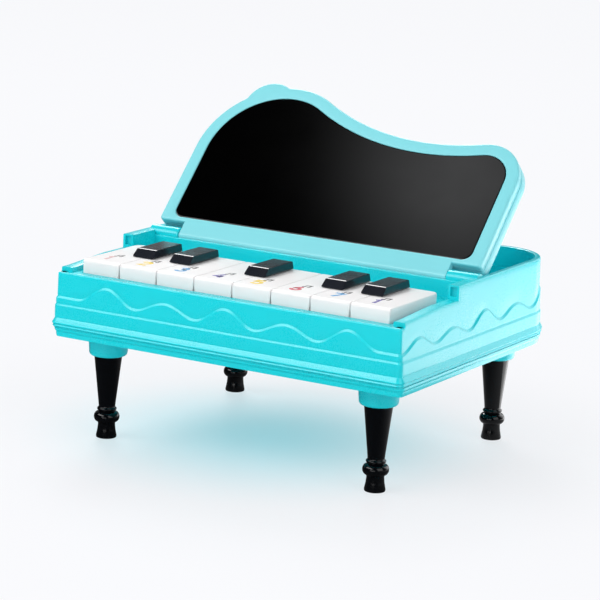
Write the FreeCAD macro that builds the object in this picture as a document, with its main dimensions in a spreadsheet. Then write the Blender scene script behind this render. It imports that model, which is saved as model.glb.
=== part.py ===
import FreeCAD, Part
import Sketcher
import math
import os

# Toy grand piano: a moulded case on four turned legs, eight playing keys, five fixed black keys
# and a piano-shaped lid that is hinged behind the keys and closes over a storage tray.
# Millimetres, +Z up, +X to the player's right. The origin is on the floor under the case's centre.

doc = FreeCAD.newDocument("toy_piano")
Vector = FreeCAD.Vector
KEY_COUNT = 8
BLACK_GAPS = (1, 2, 4, 6, 7)

SIZES = {
    # plan of the case, taken at the top of its wall
    "case_width": 152.6,
    "case_depth": 144.2,
    "front_corner": 1.8,
    "tail_corner": 19.4,
    "tail_drop": 34.8,
    "hump_radius": 37.5,
    "waist_radius": 100.7,
    # levels above the floor
    "socket_level": 33.2,
    "base_level": 40.9,
    "split_level": 44.5,
    "bead_level": 46.4,
    "step_level": 53.2,
    "tray_level": 58.0,
    "deck_level": 66.4,
    "rail_level": 73.0,
    "case_top": 75.6,
    # walls of the case
    "case_wall": 2.4,
    "deck_thick": 2.0,
    "base_thick": 2.4,
    "wall_foot": 0.35,
    "tier_proud": 0.5,
    "skirt_proud": 1.2,
    "bead_proud": 2.2,
    "bead_height": 1.6,
    "wave_end": 6.55,
    "wave_turn": 10.4,
    "wave_trough": 3.1,
    "wave_high": 9.25,
    "wave_low": 6.95,
    "rim_depth": 4.8,
    "cheek_width": 4.8,
    "cheek_gap": 3.5,
    "cheek_rise": 1.8,
    "cheek_low_length": 16.0,
    "cheek_ramp_length": 4.0,
    "cheek_ramp_rise": 1.3,
    "cheek_setback": 2.6,
    "recess_width": 2.8,
    "recess_height": 4.2,
    "recess_depth": 1.2,
    "ledge_width": 1.6,
    "ledge_gap": 0.1,
    "lip_height": 2.2,
    "lip_thick": 1.5,
    "fit_gap": 0.15,
    # lid and its hinge
    "hinge_share": 0.4453,
    "barrel_radius": 2.5,
    "knuckle_reach": 15.7,
    "barrel_clear": 0.4,
    "rail_lip": 1.3,
    "knuckle_radius": 3.2,
    "knuckle_gap": 0.3,
    "stub_radius": 1.4,
    "stub_length": 5.0,
    "running_gap": 0.05,
    "lid_rest_angle": 46.24,
    "lid_gap": 0.4,
    "lid_depth": 8.6,
    "lid_plate": 2.6,
    "lid_skirt": 2.0,
    "lid_setback": 5.4,
    "lid_edge": 0.8,
    "lid_corner": 1.2,
    "rib_thick": 1.6,
    "rib_height": 2.6,
    "tab_angle": 113.1,
    "tab_proud": 3.1,
    "tab_radius": 11.0,
    "tab_thick": 3.0,
    "tab_gap": 0.5,
    "panel_margin": 5.5,
    "panel_front": 7.6,
    "panel_corner": 4.0,
    "panel_thick": 1.0,
    "panel_sunk": 0.2,
    # white keys and their pivot
    "key_gap": 0.4,
    "deck_strip": 16.1,
    "key_top": 71.7,
    "key_height": 11.2,
    "key_wall": 1.8,
    "key_round": 1.2,
    "key_end_round": 3.6,
    "opening_gap": 0.5,
    "pivot_behind": 6.8,
    "pivot_drop": 10.2,
    "rod_radius": 1.25,
    "hub_radius": 2.6,
    "arm_width": 10.0,
    "arm_thick": 3.4,
    "plunger_share": 0.627,
    "plunger_radius": 2.5,
    # black keys
    "black_share": 0.413,
    "black_rear_gap": 1.0,
    "black_width": 9.5,
    "black_narrowing": 1.05,
    "black_height": 3.0,
    "black_front_lean": 3.2,
    "black_rear_lean": 0.5,
    "black_lift": 0.25,
    "black_round": 0.45,
    "stem_width": 4.0,
    "stem_front": 4.2,
    "stem_rear": 5.45,
    "stem_clear": 0.5,
    "stem_end_clear": 0.7,
    # frame under the keys, board and rubber contacts
    "frame_level": 54.0,
    "frame_thick": 2.0,
    "frame_side_gap": 0.5,
    "frame_front": 3.2,
    "frame_tail": 0.8,
    "comb_thick": 3.0,
    "comb_length": 6.0,
    "socket_wall": 1.4,
    "socket_rise": 3.5,
    "frame_boss_radius": 2.0,
    "frame_boss_front": 8.2,
    "frame_boss_rear": 5.4,
    "frame_head_radius": 2.2,
    "board_thick": 1.6,
    "board_front": 3.5,
    "board_end_gap": 2.0,
    "peg_radius": 1.2,
    "peg_rise": 0.6,
    "strip_end_gap": 4.0,
    "strip_thick": 1.0,
    "strip_front": 2.4,
    "strip_rear": 5.4,
    "dome_height": 2.3,
    "dome_radius": 4.0,
    "dome_top_radius": 2.6,
    # legs
    "leg_side": 15.8,
    "leg_front": 13.6,
    "leg_top_radius": 5.45,
    "leg_neck_radius": 3.25,
    "leg_neck_level": 12.6,
    "leg_bead_radius": 3.8,
    "leg_bead_level": 10.9,
    "leg_bead_height": 1.4,
    "leg_ring_radius": 5.05,
    "leg_ring_level": 6.3,
    "leg_ring_height": 4.2,
    "leg_ring_roundness": 0.9,
    "leg_foot_radius": 3.4,
    "leg_toe_radius": 4.05,
    "leg_toe_height": 0.8,
    "leg_plug_radius": 4.3,
    "leg_plug_length": 8.5,
    "cup_radius": 8.0,
    "cup_end_radius": 7.4,
    "cup_round": 1.4,
    # screws
    "screw_radius": 1.25,
    "screw_head_radius": 2.6,
    "screw_head_thick": 1.3,
    "screw_length": 9.0,
    "boss_radius": 3.0,
    "corner_boss_inset": 4.9,
    "corner_boss_drop": 3.5,
    "side_boss_inset": 7.3,
    "side_boss_ahead": 2.0,
    "tail_boss_inset": 8.3,
    "hump_boss_inset": 11.5,
    # battery box
    "cell_radius": 5.25,
    "cell_length": 43.7,
    "cell_nub_radius": 1.9,
    "cell_nub_length": 0.8,
    "cell_pitch": 11.5,
    "cell_rise": 0.3,
    "box_tail": 51.5,
    "box_wall": 1.5,
    "box_height": 11.2,
    "spring_length": 4.5,
    "contact_thick": 0.5,
    "contact_width": 8.0,
    "door_margin": 3.0,
    "door_flange": 1.4,
    "door_gap": 0.3,
    "door_ear_radius": 4.0,
    "door_head_thick": 0.9,
    # speaker
    "speaker_tail": 57.5,
    "speaker_margin": 2.7,
    "speaker_flange": 1.0,
    "speaker_seat": 2.6,
    "basket_height": 4.6,
    "basket_share": 0.53,
    "sheet_metal": 0.8,
    "cone_inset": 4.0,
    "cone_depth": 3.0,
    "coil_radius": 4.0,
    "paper_thick": 0.4,
    "magnet_share": 0.44,
    "magnet_height": 4.0,
    "grille_pitch": 4.4,
    "grille_slot": 2.0,
    # power switch
    "switch_gap": 14.0,
    "switch_tail": 57.5,
    "switch_length": 12.0,
    "switch_width": 6.0,
    "switch_height": 5.0,
    "knob_length": 3.2,
    "knob_width": 2.8,
    "knob_travel": 4.0,
    "knob_gap": 0.3,
    "knob_ridge": 0.4,
    "knob_stub": 1.4,
}

sheet = doc.addObject("Spreadsheet::Sheet", "dims")
for row, (alias, number) in enumerate(SIZES.items(), start=1):
    sheet.set("A%d" % row, alias)
    sheet.set("B%d" % row, str(number))
    sheet.setAlias("B%d" % row, alias)
doc.recompute()


def size(alias):
    """The number that the sheet holds under this name."""
    return float(sheet.get(alias))


# Places that several pieces share, worked out once from the sheet

HALF_WIDTH = size("case_width") / 2
FRONT = -size("case_depth") / 2
TAIL = size("case_depth") / 2
TAIL_CORNER = Vector(HALF_WIDTH - size("tail_corner"), TAIL - size("tail_drop"), 0)
HUMP = Vector(size("hump_radius") - HALF_WIDTH, TAIL - size("hump_radius"), 0)
HINGE_Y = FRONT + size("hinge_share") * size("case_depth")
HINGE_Z = size("case_top") - size("barrel_radius")
BARREL_HALF = HALF_WIDTH - size("knuckle_reach")
RAIL_FRONT = HINGE_Y - size("barrel_radius") - size("barrel_clear") - size("rail_lip")
RAIL_REAR = HINGE_Y + size("lid_setback") - 2 * size("lid_gap")
KEY_SPAN = HALF_WIDTH - size("cheek_width") - size("cheek_gap")
KEY_FRONT = FRONT + size("rim_depth") + size("opening_gap")
KEY_REAR = RAIL_FRONT - size("deck_strip")
DECK_UNDER = size("deck_level") - size("deck_thick")
BASE_TOP = size("base_level") + size("base_thick")
TRAY_UNDER = size("tray_level") - size("deck_thick")
LID_INSET = size("case_wall") + size("lid_gap")
LID_TOP = size("barrel_radius")
LID_BOTTOM = LID_TOP - size("lid_depth")
LID_PLATE_UNDER = LID_TOP - size("lid_plate")
REACH = size("case_width") + size("case_depth")

# The same places as expressions, for the pieces that are bound to the sheet

HALF_WIDTH_TEXT = "(dims.case_width / 2)"
FRONT_TEXT = "(-dims.case_depth / 2)"
TAIL_TEXT = "(dims.case_depth / 2)"
HINGE_Y_TEXT = "(%s + dims.hinge_share * dims.case_depth)" % FRONT_TEXT
HINGE_Z_TEXT = "(dims.case_top - dims.barrel_radius)"
RAIL_FRONT_TEXT = "(%s - dims.barrel_radius - dims.barrel_clear - dims.rail_lip)" % HINGE_Y_TEXT
KEY_SPAN_TEXT = "(%s - dims.cheek_width - dims.cheek_gap)" % HALF_WIDTH_TEXT
PITCH_TEXT = "(2 * %s / %d)" % (KEY_SPAN_TEXT, KEY_COUNT)
KEY_FRONT_TEXT = "(%s + dims.rim_depth + dims.opening_gap)" % FRONT_TEXT
KEY_REAR_TEXT = "(%s - dims.deck_strip)" % RAIL_FRONT_TEXT
KEY_LENGTH_TEXT = "(%s - %s)" % (KEY_REAR_TEXT, KEY_FRONT_TEXT)
PIVOT_Y_TEXT = "(%s + dims.pivot_behind)" % KEY_REAR_TEXT
PIVOT_Z_TEXT = "(dims.key_top - dims.pivot_drop)"
BLACK_SETBACK_TEXT = "(dims.black_share * %s)" % KEY_LENGTH_TEXT
BLACK_LENGTH_TEXT = "(%s - %s - dims.black_rear_gap)" % (KEY_LENGTH_TEXT, BLACK_SETBACK_TEXT)
STEM_LENGTH_TEXT = "(%s - dims.stem_front - dims.stem_rear)" % BLACK_LENGTH_TEXT
PLUNGER_BACK_TEXT = "(dims.plunger_share * %s)" % BLACK_SETBACK_TEXT
CORNER_BOSS_TEXT = "(%s - dims.corner_boss_inset)" % HALF_WIDTH_TEXT
BASE_TOP_TEXT = "(dims.base_level + dims.base_thick)"
STRIP_LEVEL_TEXT = "(dims.frame_level + dims.board_thick)"
DOME_TOP_TEXT = "(%s + dims.strip_thick + dims.dome_height)" % STRIP_LEVEL_TEXT
PLUNGER_END_TEXT = "(%s - %s)" % (DOME_TOP_TEXT, PIVOT_Z_TEXT)


def leg_places():
    """Plan positions of the legs: the front pair, then the rear pair level with the tail corner's centre."""
    across = HALF_WIDTH - size("leg_side")
    rows = (FRONT + size("leg_front"), TAIL_CORNER.y)
    return [(side * across, back) for back in rows for side in (-1, 1)]


def boss_places():
    """Plan position and top level of each boss that takes a case screw."""
    corner_across = HALF_WIDTH - size("corner_boss_inset")
    corner_top = size("key_top") - size("key_height") - size("corner_boss_drop")
    side_across = HALF_WIDTH - size("side_boss_inset")
    tail_in = size("tail_boss_inset")
    places = []
    for side in (-1, 1):
        places.append((side * corner_across, FRONT + size("corner_boss_inset"), corner_top))
        places.append((side * side_across, RAIL_FRONT - size("side_boss_ahead"), DECK_UNDER))
    places.append((TAIL_CORNER.x - tail_in, TAIL_CORNER.y + tail_in, TRAY_UNDER))
    places.append((HUMP.x, TAIL - size("hump_boss_inset"), TRAY_UNDER))
    return places


def frame_screw_places():
    """Plan positions of the four screws that hang the key frame under the deck."""
    across = HALF_WIDTH - size("corner_boss_inset")
    backs = (KEY_FRONT + size("frame_boss_front"), KEY_REAR - size("frame_boss_rear"))
    return [(side * across, back) for side in (-1, 1) for back in backs]


# Plain solids

def block(low, high):
    """Box between two opposite corners."""
    return Part.makeBox(high[0] - low[0], high[1] - low[1], high[2] - low[2], Vector(*low))


def round_bar(radius, start, end):
    """Cylinder of a radius from one point to another."""
    along = Vector(*end) - Vector(*start)
    return Part.makeCylinder(radius, along.Length, Vector(*start), along)


def joined(shapes):
    """One solid from several that overlap."""
    return shapes[0].fuse(shapes[1:]).removeSplitter()


# The piano outline: straight front and sides, a round right tail corner, a hollow waist and a round hump

def waist_centre(corner, hump):
    """Centre of the waist arc, which touches the corner arc and the hump arc from outside."""
    to_hump = size("hump_radius") + size("waist_radius")
    to_corner = size("tail_corner") + size("waist_radius")
    between = corner - hump
    along = (to_hump ** 2 - to_corner ** 2 + between.Length ** 2) / (2 * between.Length)
    up = math.sqrt(to_hump ** 2 - along ** 2)
    direction = between / between.Length
    return hump + direction * along + Vector(-direction.y, direction.x, 0) * up


def arc(centre, radius, start_degrees, end_degrees):
    """Arc about a centre between two angles, through the middle angle."""
    points = []
    for degrees in (start_degrees, (start_degrees + end_degrees) / 2, end_degrees):
        turn = math.radians(degrees)
        points.append(centre + Vector(math.cos(turn), math.sin(turn), 0) * radius)
    return Part.Arc(*points).toShape()


def line(start, end):
    return Part.LineSegment(start, end).toShape()


def piano_outline(grow, level, front, radius):
    """Closed outline, grown outwards by an amount, at a level, with a given front edge and front corners."""
    half = HALF_WIDTH + grow
    corner = TAIL_CORNER + Vector(0, 0, level)
    hump = HUMP + Vector(0, 0, level)
    waist = waist_centre(corner, hump)
    corner_turn = math.degrees(math.atan2(waist.y - corner.y, waist.x - corner.x))
    hump_turn = math.degrees(math.atan2(waist.y - hump.y, waist.x - hump.x))
    right_front = Vector(half - radius, front + radius, level)
    left_front = Vector(radius - half, front + radius, level)
    edges = [
        line(Vector(left_front.x, front, level), Vector(right_front.x, front, level)),
        arc(right_front, radius, -90, 0),
        line(Vector(half, right_front.y, level), Vector(half, corner.y, level)),
        arc(corner, size("tail_corner") + grow, 0, corner_turn),
        arc(waist, size("waist_radius") - grow, corner_turn - 180, hump_turn - 180),
        arc(hump, size("hump_radius") + grow, hump_turn, 180),
        line(Vector(-half, hump.y, level), Vector(-half, left_front.y, level)),
        arc(left_front, radius, 180, 270),
    ]
    return Part.Wire(edges)


def case_ring(grow, level):
    """Outline of the case at a level, grown on every side alike."""
    return piano_outline(grow, level, FRONT - grow, size("front_corner") + grow)


def case_stack(rings):
    """Solid through case outlines, each given as a level and how far it is grown."""
    wires = [case_ring(grow, level) for level, grow in rings]
    return Part.makeLoft(wires, True, True)


def case_prism(inset, low, high, front=None):
    """Upright solid inside the case outline, from a front limit to the tail."""
    edge = FRONT + inset if front is None else front
    radius = max(size("front_corner") - inset, size("lid_corner"))
    face = Part.Face(piano_outline(-inset, low, edge, radius))
    return face.extrude(Vector(0, 0, high - low))


# Upper case

FRONT_CRESTS = 5
SIDE_CRESTS = 5
TAIL_CRESTS = 6
WAVE_STEPS = 20


def wave_height(turn, middle_crest):
    """Height of the wavy tier above the step at a turn of the wave, with high and low crests in turn.

    The crest at turn 0 is a high one if middle_crest is 1 and a low one if it is -1.
    """
    middle = (size("wave_high") + size("wave_low")) / 2
    swing = (size("wave_high") - size("wave_low")) / 2
    crest = middle + middle_crest * swing * math.cos(turn / 2)
    trough = size("wave_trough")
    return trough + (crest - trough) * (1 + math.cos(turn)) / 2


def wave_face(place, pitch, crests, middle_crest):
    """Face above a wave about a middle, which goes on level beyond its ends."""
    ends = crests * math.pi
    turns = [ends * (step / WAVE_STEPS - 1) for step in range(2 * WAVE_STEPS + 1)]
    points = [place(turn / (2 * math.pi) * pitch, size("step_level") + wave_height(turn, middle_crest))
              for turn in turns]
    flat = (points[-1] - points[0]).normalize()
    curve = Part.BSplineCurve()
    curve.interpolate(Points=points, InitialTangent=flat, FinalTangent=flat, Scale=False)
    start = place(-REACH, points[0].z)
    finish = place(REACH, points[-1].z)
    top = size("case_top") + size("case_wall")
    roof = [place(REACH, top), place(-REACH, top)]
    edges = [line(start, points[0]), curve.toShape(), line(points[-1], finish),
             line(finish, roof[0]), line(roof[0], roof[1]), line(roof[1], start)]
    return Part.Face(Part.Wire(edges))


def wavy_tier():
    """Raised lower tier of the wall: a band round the case whose upper edge is a wave.

    Troughs meet at the front corners. The side waves run on round the tail corners to a high crest, half
    a wave before their last trough, and there the wave of the tail takes over.
    """
    proud = size("tier_proud")
    band = case_stack([(size("step_level"), size("wall_foot") + proud), (size("deck_level"), proud)])
    front_end = FRONT + size("front_corner") / 2
    side_end = TAIL_CORNER.y + size("wave_turn")
    tail_end = TAIL_CORNER.x + math.sqrt(size("tail_corner") ** 2 - size("wave_turn") ** 2)
    front_pitch = 2 * (HALF_WIDTH - size("wave_end")) / FRONT_CRESTS
    side_pitch = (side_end - FRONT) / (SIDE_CRESTS - 0.5)
    tail_pitch = 2 * tail_end / TAIL_CRESTS
    middle = FRONT + side_pitch * SIDE_CRESTS / 2
    front = wave_face(lambda along, level: Vector(along, front_end - REACH, level),
                      front_pitch, FRONT_CRESTS, 1)
    sides = wave_face(lambda along, level: Vector(-REACH, middle + along, level),
                      side_pitch, SIDE_CRESTS, 1)
    tail = wave_face(lambda along, level: Vector(along, side_end, level),
                     tail_pitch, TAIL_CRESTS, -1)
    side_reach = block((-REACH, front_end, 0), (REACH, side_end, REACH))
    front_cut = front.extrude(Vector(0, REACH, 0))
    side_cut = sides.extrude(Vector(2 * REACH, 0, 0)).common(side_reach)
    tail_cut = tail.extrude(Vector(0, REACH, 0))
    return band.cut([front_cut, side_cut, tail_cut])


def case_outside():
    """Full outer form: flared skirt with its bead, wall and wavy tier."""
    bead = size("bead_level")
    proud = size("bead_proud")
    skirt = size("skirt_proud")
    low_band = case_stack([
        (size("split_level"), skirt), (bead - size("bead_height") / 2, (skirt + proud) / 2), (bead, proud),
        (bead + size("bead_height"), skirt), (size("step_level"), skirt)])
    wall = case_stack([(size("step_level"), size("wall_foot")), (size("case_top"), 0)])
    return joined([low_band, wall, wavy_tier()])


def tab_centre():
    """Centre of the round finger tab, which stands out of the lid's hump at an angle."""
    turn = math.radians(size("tab_angle"))
    reach = size("hump_radius") - LID_INSET + size("tab_proud") - size("tab_radius")
    return HUMP + Vector(math.cos(turn), math.sin(turn), 0) * reach


def cheek_space():
    """Space over the cheeks, which are low at the front and rise by a short ramp towards the arms."""
    low = size("deck_level") + size("cheek_rise")
    high = low + size("cheek_ramp_rise")
    top = size("case_top") + size("knuckle_radius")
    ramp = FRONT + size("cheek_low_length")
    ramp_end = ramp + size("cheek_ramp_length")
    rear = KEY_REAR + size("opening_gap")
    corners = [(-REACH, low), (ramp, low), (ramp_end, high), (rear, high), (rear, top), (-REACH, top)]
    points = [Vector(-REACH, back, level) for back, level in corners]
    return Part.Face(Part.makePolygon(points + points[:1])).extrude(Vector(2 * REACH, 0, 0))


def case_hollows():
    """Spaces cut out of the outer form: key well, hinge trough, tray and the room under the deck."""
    wall = size("case_wall")
    deck = size("deck_level")
    top = size("case_top") + size("knuckle_radius")
    opening_half = KEY_SPAN + size("opening_gap")
    opening_front = KEY_FRONT - size("opening_gap")
    opening_rear = KEY_REAR + size("opening_gap")
    well_half = HALF_WIDTH - size("cheek_width")
    inner_half = HALF_WIDTH - wall
    barrel_half = BARREL_HALF + size("knuckle_gap")
    trough = size("barrel_radius") + size("barrel_clear")
    ledge_level = HINGE_Z + LID_BOTTOM - size("ledge_gap")
    partition = RAIL_REAR - wall
    front_room = block((-REACH, -REACH, 0), (REACH, partition, REACH))
    tray_room = block((-REACH, RAIL_REAR, 0), (REACH, REACH, REACH))
    tab_floor = HINGE_Z + LID_TOP - size("tab_thick") - size("tab_gap")
    tab = tab_centre()
    tab_reach = size("tab_radius") + size("tab_gap")
    return [
        case_prism(wall, size("split_level") - wall, TRAY_UNDER),
        case_prism(wall, TRAY_UNDER, DECK_UNDER).common(front_room),
        block((-well_half, RAIL_FRONT + wall, DECK_UNDER),
              (well_half, partition, HINGE_Z - trough - wall)),
        block((-well_half, -REACH, deck), (well_half, RAIL_FRONT, top)),
        cheek_space(),
        block((-REACH, -REACH, deck), (REACH, FRONT + size("cheek_setback"), top)),
        block((-opening_half, opening_front, DECK_UNDER), (opening_half, opening_rear, deck)),
        block((-inner_half, RAIL_FRONT, size("rail_level")), (inner_half, RAIL_REAR, top)),
        block((-inner_half, HINGE_Y, HINGE_Z + LID_PLATE_UNDER - size("barrel_clear")),
              (inner_half, RAIL_REAR, top)),
        round_bar(trough, (-barrel_half, HINGE_Y, HINGE_Z), (barrel_half, HINGE_Y, HINGE_Z)),
        case_prism(wall, ledge_level, top).common(tray_room),
        case_prism(wall + size("ledge_width"), size("tray_level"), ledge_level).common(tray_room),
        round_bar(tab_reach, (tab.x, tab.y, tab_floor), (tab.x, tab.y, top)),
    ]


def arm_recesses():
    """Shallow blind slot in the front end of each arm."""
    middle = HALF_WIDTH - size("cheek_width") / 2
    half = size("recess_width") / 2
    front = KEY_REAR + size("opening_gap")
    cheek_top = size("deck_level") + size("cheek_rise") + size("cheek_ramp_rise")
    rise = (cheek_top + size("case_top")) / 2
    tall = size("recess_height") / 2
    return [block((side * middle - half, front, rise - tall),
                  (side * middle + half, front + size("recess_depth"), rise + tall)) for side in (-1, 1)]


def hinge_knuckles():
    """Round fixed knuckles at both ends of the rail, run into the side walls."""
    inner = BARREL_HALF + size("knuckle_gap")
    outer = HALF_WIDTH - size("case_wall") / 2
    return [round_bar(size("knuckle_radius"), (side * inner, HINGE_Y, HINGE_Z),
                      (side * outer, HINGE_Y, HINGE_Z)) for side in (-1, 1)]


def stub_bores():
    """Blind bores in the knuckles where the lid's stubs turn."""
    inner = BARREL_HALF + size("knuckle_gap")
    deep = BARREL_HALF + size("stub_length") + size("knuckle_gap")
    radius = size("stub_radius") + size("running_gap")
    return [round_bar(radius, (side * inner, HINGE_Y, HINGE_Z), (side * deep, HINGE_Y, HINGE_Z))
            for side in (-1, 1)]


def upper_case_shape():
    shell = case_outside().cut(case_hollows() + arm_recesses())
    bosses = [round_bar(size("boss_radius"), (across, back, size("split_level")), (across, back, top))
              for across, back, top in boss_places()]
    hangers = [round_bar(size("frame_boss_radius"), (across, back, size("frame_level")),
                         (across, back, DECK_UNDER)) for across, back in frame_screw_places()]
    solid = joined([shell] + hinge_knuckles() + bosses + hangers)
    bore = size("screw_radius") + size("running_gap")
    deep = size("screw_length") + size("running_gap")
    split = size("split_level")
    under = size("frame_level")
    bores = [round_bar(bore, (across, back, split), (across, back, split + deep))
             for across, back, top in boss_places()]
    bores += [round_bar(bore, (across, back, under), (across, back, under + deep))
              for across, back in frame_screw_places()]
    return solid.cut(bores + stub_bores())


# Bottom cover

def door_rectangle(grow):
    """Half length, front and rear of the battery opening, grown by an amount."""
    half = (size("cell_length") + size("cell_nub_length") + size("spring_length")) / 2
    half += size("contact_thick") + grow
    deep = size("cell_pitch") + size("cell_radius") + size("door_gap") + grow
    middle = TAIL - size("box_tail")
    return half, middle - deep, middle + deep


def door_ear():
    """Plan position of the screw ear at the right end of the battery door."""
    half = door_rectangle(size("door_margin"))[0]
    return half, TAIL - size("box_tail")


def speaker_seat():
    """Plan position and radius of the speaker, which fills the room beside the battery box."""
    box_side = door_rectangle(size("box_wall"))[0]
    side_wall = HALF_WIDTH - size("case_wall") - size("lip_thick")
    outer = (side_wall - box_side) / 2 - size("speaker_margin")
    radius = outer - size("fit_gap") - size("box_wall")
    return -(side_wall + box_side) / 2, TAIL - size("speaker_tail"), radius


def switch_place():
    """Plan position of the power switch, to the right of the door's screw ear."""
    return door_ear()[0] + size("door_ear_radius") + size("switch_gap"), TAIL - size("switch_tail")


def grille_slots():
    """Parallel round-ended sound slots within the speaker's circle."""
    slots = []
    across, middle, speaker_radius = speaker_seat()
    low = size("base_level") - size("base_thick")
    radius = size("grille_slot") / 2
    reach = speaker_radius - size("cone_inset")
    rows = int(reach / size("grille_pitch"))
    for row in range(-rows, rows + 1):
        back = middle + row * size("grille_pitch")
        half = math.sqrt(reach ** 2 - (row * size("grille_pitch")) ** 2)
        left = across - half
        right = across + half
        slot = block((left, back - radius, low), (right, back + radius, BASE_TOP))
        ends = [round_bar(radius, (end, back, low), (end, back, BASE_TOP)) for end in (left, right)]
        slots.append(joined([slot] + ends))
    return slots


def leg_cups():
    """Tapered round cups under the base, with a rounded lower edge."""
    cups = []
    low = size("socket_level")
    for across, back in leg_places():
        cup = Part.makeCone(size("cup_end_radius"), size("cup_radius"), size("base_level") - low,
                            Vector(across, back, low))
        rim = [edge for edge in cup.Edges if edge.BoundBox.ZMax < low + size("cup_round") / 2]
        cups.append(cup.makeFillet(size("cup_round"), rim))
    return cups


def bottom_cover_shape():
    base = size("base_level")
    split = size("split_level")
    wall = size("case_wall")
    chamfer = size("fit_gap") + size("wall_foot")
    tuck = size("skirt_proud") / 2
    rise = (split - base) / 4
    pan = case_stack([(base, chamfer / 2), (base + rise, chamfer), (base + 2 * rise, chamfer),
                      (base + 3 * rise, tuck + chamfer), (split, tuck + chamfer)])
    pan = pan.cut(case_prism(wall, BASE_TOP, split + wall))
    lip_outer = wall + size("fit_gap")
    lip_top = split + size("lip_height")
    lip = case_prism(lip_outer, base + rise, lip_top)
    lip = lip.cut(case_prism(lip_outer + size("lip_thick"), base, lip_top))
    clear = size("boss_radius") + size("fit_gap")
    lip = lip.cut([round_bar(clear, (across, back, split), (across, back, lip_top))
                   for across, back, top in boss_places()])
    pads = [round_bar(size("boss_radius"), (across, back, base + rise), (across, back, split))
            for across, back, top in boss_places()]
    speaker_across, speaker_back, speaker_radius = speaker_seat()
    seat_radius = speaker_radius + size("fit_gap")
    seat_top = BASE_TOP + size("speaker_seat")
    seat = round_bar(seat_radius + size("box_wall"), (speaker_across, speaker_back, base + rise),
                     (speaker_across, speaker_back, seat_top))
    seat = seat.cut(round_bar(seat_radius, (speaker_across, speaker_back, base),
                              (speaker_across, speaker_back, seat_top)))
    half, front, rear = door_rectangle(size("box_wall"))
    inner_half, inner_front, inner_rear = door_rectangle(0)
    box = block((-half, front, base + rise), (half, rear, BASE_TOP + size("box_height")))
    ear_across, ear_back = door_ear()
    ear_boss = round_bar(size("boss_radius"), (ear_across, ear_back, base + rise),
                         (ear_across, ear_back, BASE_TOP + size("screw_length")))
    solid = joined([pan, lip, seat, box, ear_boss] + pads + leg_cups())
    flange_half, flange_front, flange_rear = door_rectangle(size("door_margin"))
    flange = size("door_flange")
    holes = [
        block((-inner_half, inner_front, 0), (inner_half, inner_rear, REACH)),
        block((-flange_half, flange_front, 0), (flange_half, flange_rear, base + flange)),
        round_bar(size("door_ear_radius"), (ear_across, ear_back, 0), (ear_across, ear_back, base + flange)),
        round_bar(size("screw_radius") + size("running_gap"), (ear_across, ear_back, 0),
                  (ear_across, ear_back, BASE_TOP + size("screw_length"))),
    ]
    holes += grille_slots()
    seat_level = base + size("screw_head_thick") + size("fit_gap")
    head_room = size("screw_head_radius") + size("fit_gap")
    shank_room = size("screw_radius") + size("fit_gap")
    for across, back, top in boss_places():
        holes.append(round_bar(head_room, (across, back, 0), (across, back, seat_level)))
        holes.append(round_bar(shank_room, (across, back, 0), (across, back, split)))
    for across, back in leg_places():
        plug_top = size("socket_level") + size("leg_plug_length") + size("fit_gap")
        holes.append(round_bar(size("leg_plug_radius") + size("running_gap"), (across, back, 0),
                               (across, back, plug_top)))
    slot_half = (size("knob_length") + size("knob_travel")) / 2 + size("knob_gap")
    slot_wide = size("knob_width") / 2 + size("knob_gap")
    switch = switch_place()
    holes.append(block((switch[0] - slot_half, switch[1] - slot_wide, 0),
                       (switch[0] + slot_half, switch[1] + slot_wide, BASE_TOP)))
    return solid.cut(holes)


# Lid, drawn closed with the hinge axis along X through its own origin

def lid_face(inset, level, front, radius):
    """Face of the lid's outline at a level, inset from the case, with its own front edge."""
    wire = piano_outline(-inset, level, HINGE_Y + front, radius)
    return Part.Face(wire).translated(Vector(0, -HINGE_Y, 0))


RIB_SHARES = (-0.5, 0.0, 0.5)


def lid_frame_shape():
    inset = LID_INSET
    front = size("lid_setback")
    corner = size("lid_corner")
    slab = lid_face(inset, LID_BOTTOM, front, corner).extrude(Vector(0, 0, size("lid_depth")))
    tab = tab_centre() - Vector(0, HINGE_Y, 0)
    tab_low = LID_TOP - size("tab_thick")
    slab = joined([slab, round_bar(size("tab_radius"), (tab.x, tab.y, tab_low), (tab.x, tab.y, LID_TOP))])
    top_edges = [edge for edge in slab.Edges if edge.BoundBox.ZMin > LID_TOP - size("running_gap")]
    slab = slab.makeFillet(size("lid_edge"), top_edges)
    skirt = size("lid_skirt")
    hollow = lid_face(inset + skirt, LID_BOTTOM, front + skirt, corner)
    hollow = hollow.extrude(Vector(0, 0, LID_PLATE_UNDER - LID_BOTTOM))
    ribs = []
    rib_half = size("rib_thick") / 2
    rib_low = LID_PLATE_UNDER - size("rib_height")
    for share in RIB_SHARES:
        across = share * (HALF_WIDTH - inset)
        ribs.append(block((across - rib_half, front, rib_low), (across + rib_half, REACH, LID_TOP)))
    hollow = hollow.cut(ribs)
    barrel = round_bar(size("barrel_radius"), (-BARREL_HALF, 0, 0), (BARREL_HALF, 0, 0))
    flap = block((-BARREL_HALF, 0, LID_PLATE_UNDER), (BARREL_HALF, front + skirt, LID_TOP))
    stub_reach = BARREL_HALF + size("stub_length")
    stubs = round_bar(size("stub_radius"), (-stub_reach, 0, 0), (stub_reach, 0, 0))
    field_low = LID_TOP - size("panel_thick") - size("panel_sunk")
    margin = inset + size("panel_margin") - size("fit_gap")
    field = lid_face(margin, field_low, size("panel_front") - size("fit_gap"), size("panel_corner"))
    field = field.extrude(Vector(0, 0, size("lid_plate")))
    return joined([slab.cut(hollow), barrel, flap, stubs]).cut(field)


def lid_panel_shape():
    low = LID_TOP - size("panel_thick") - size("panel_sunk")
    face = lid_face(LID_INSET + size("panel_margin"), low, size("panel_front"), size("panel_corner"))
    return face.extrude(Vector(0, 0, size("panel_thick")))


# Document objects: helpers for pieces that are bound to the sheet

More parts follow.
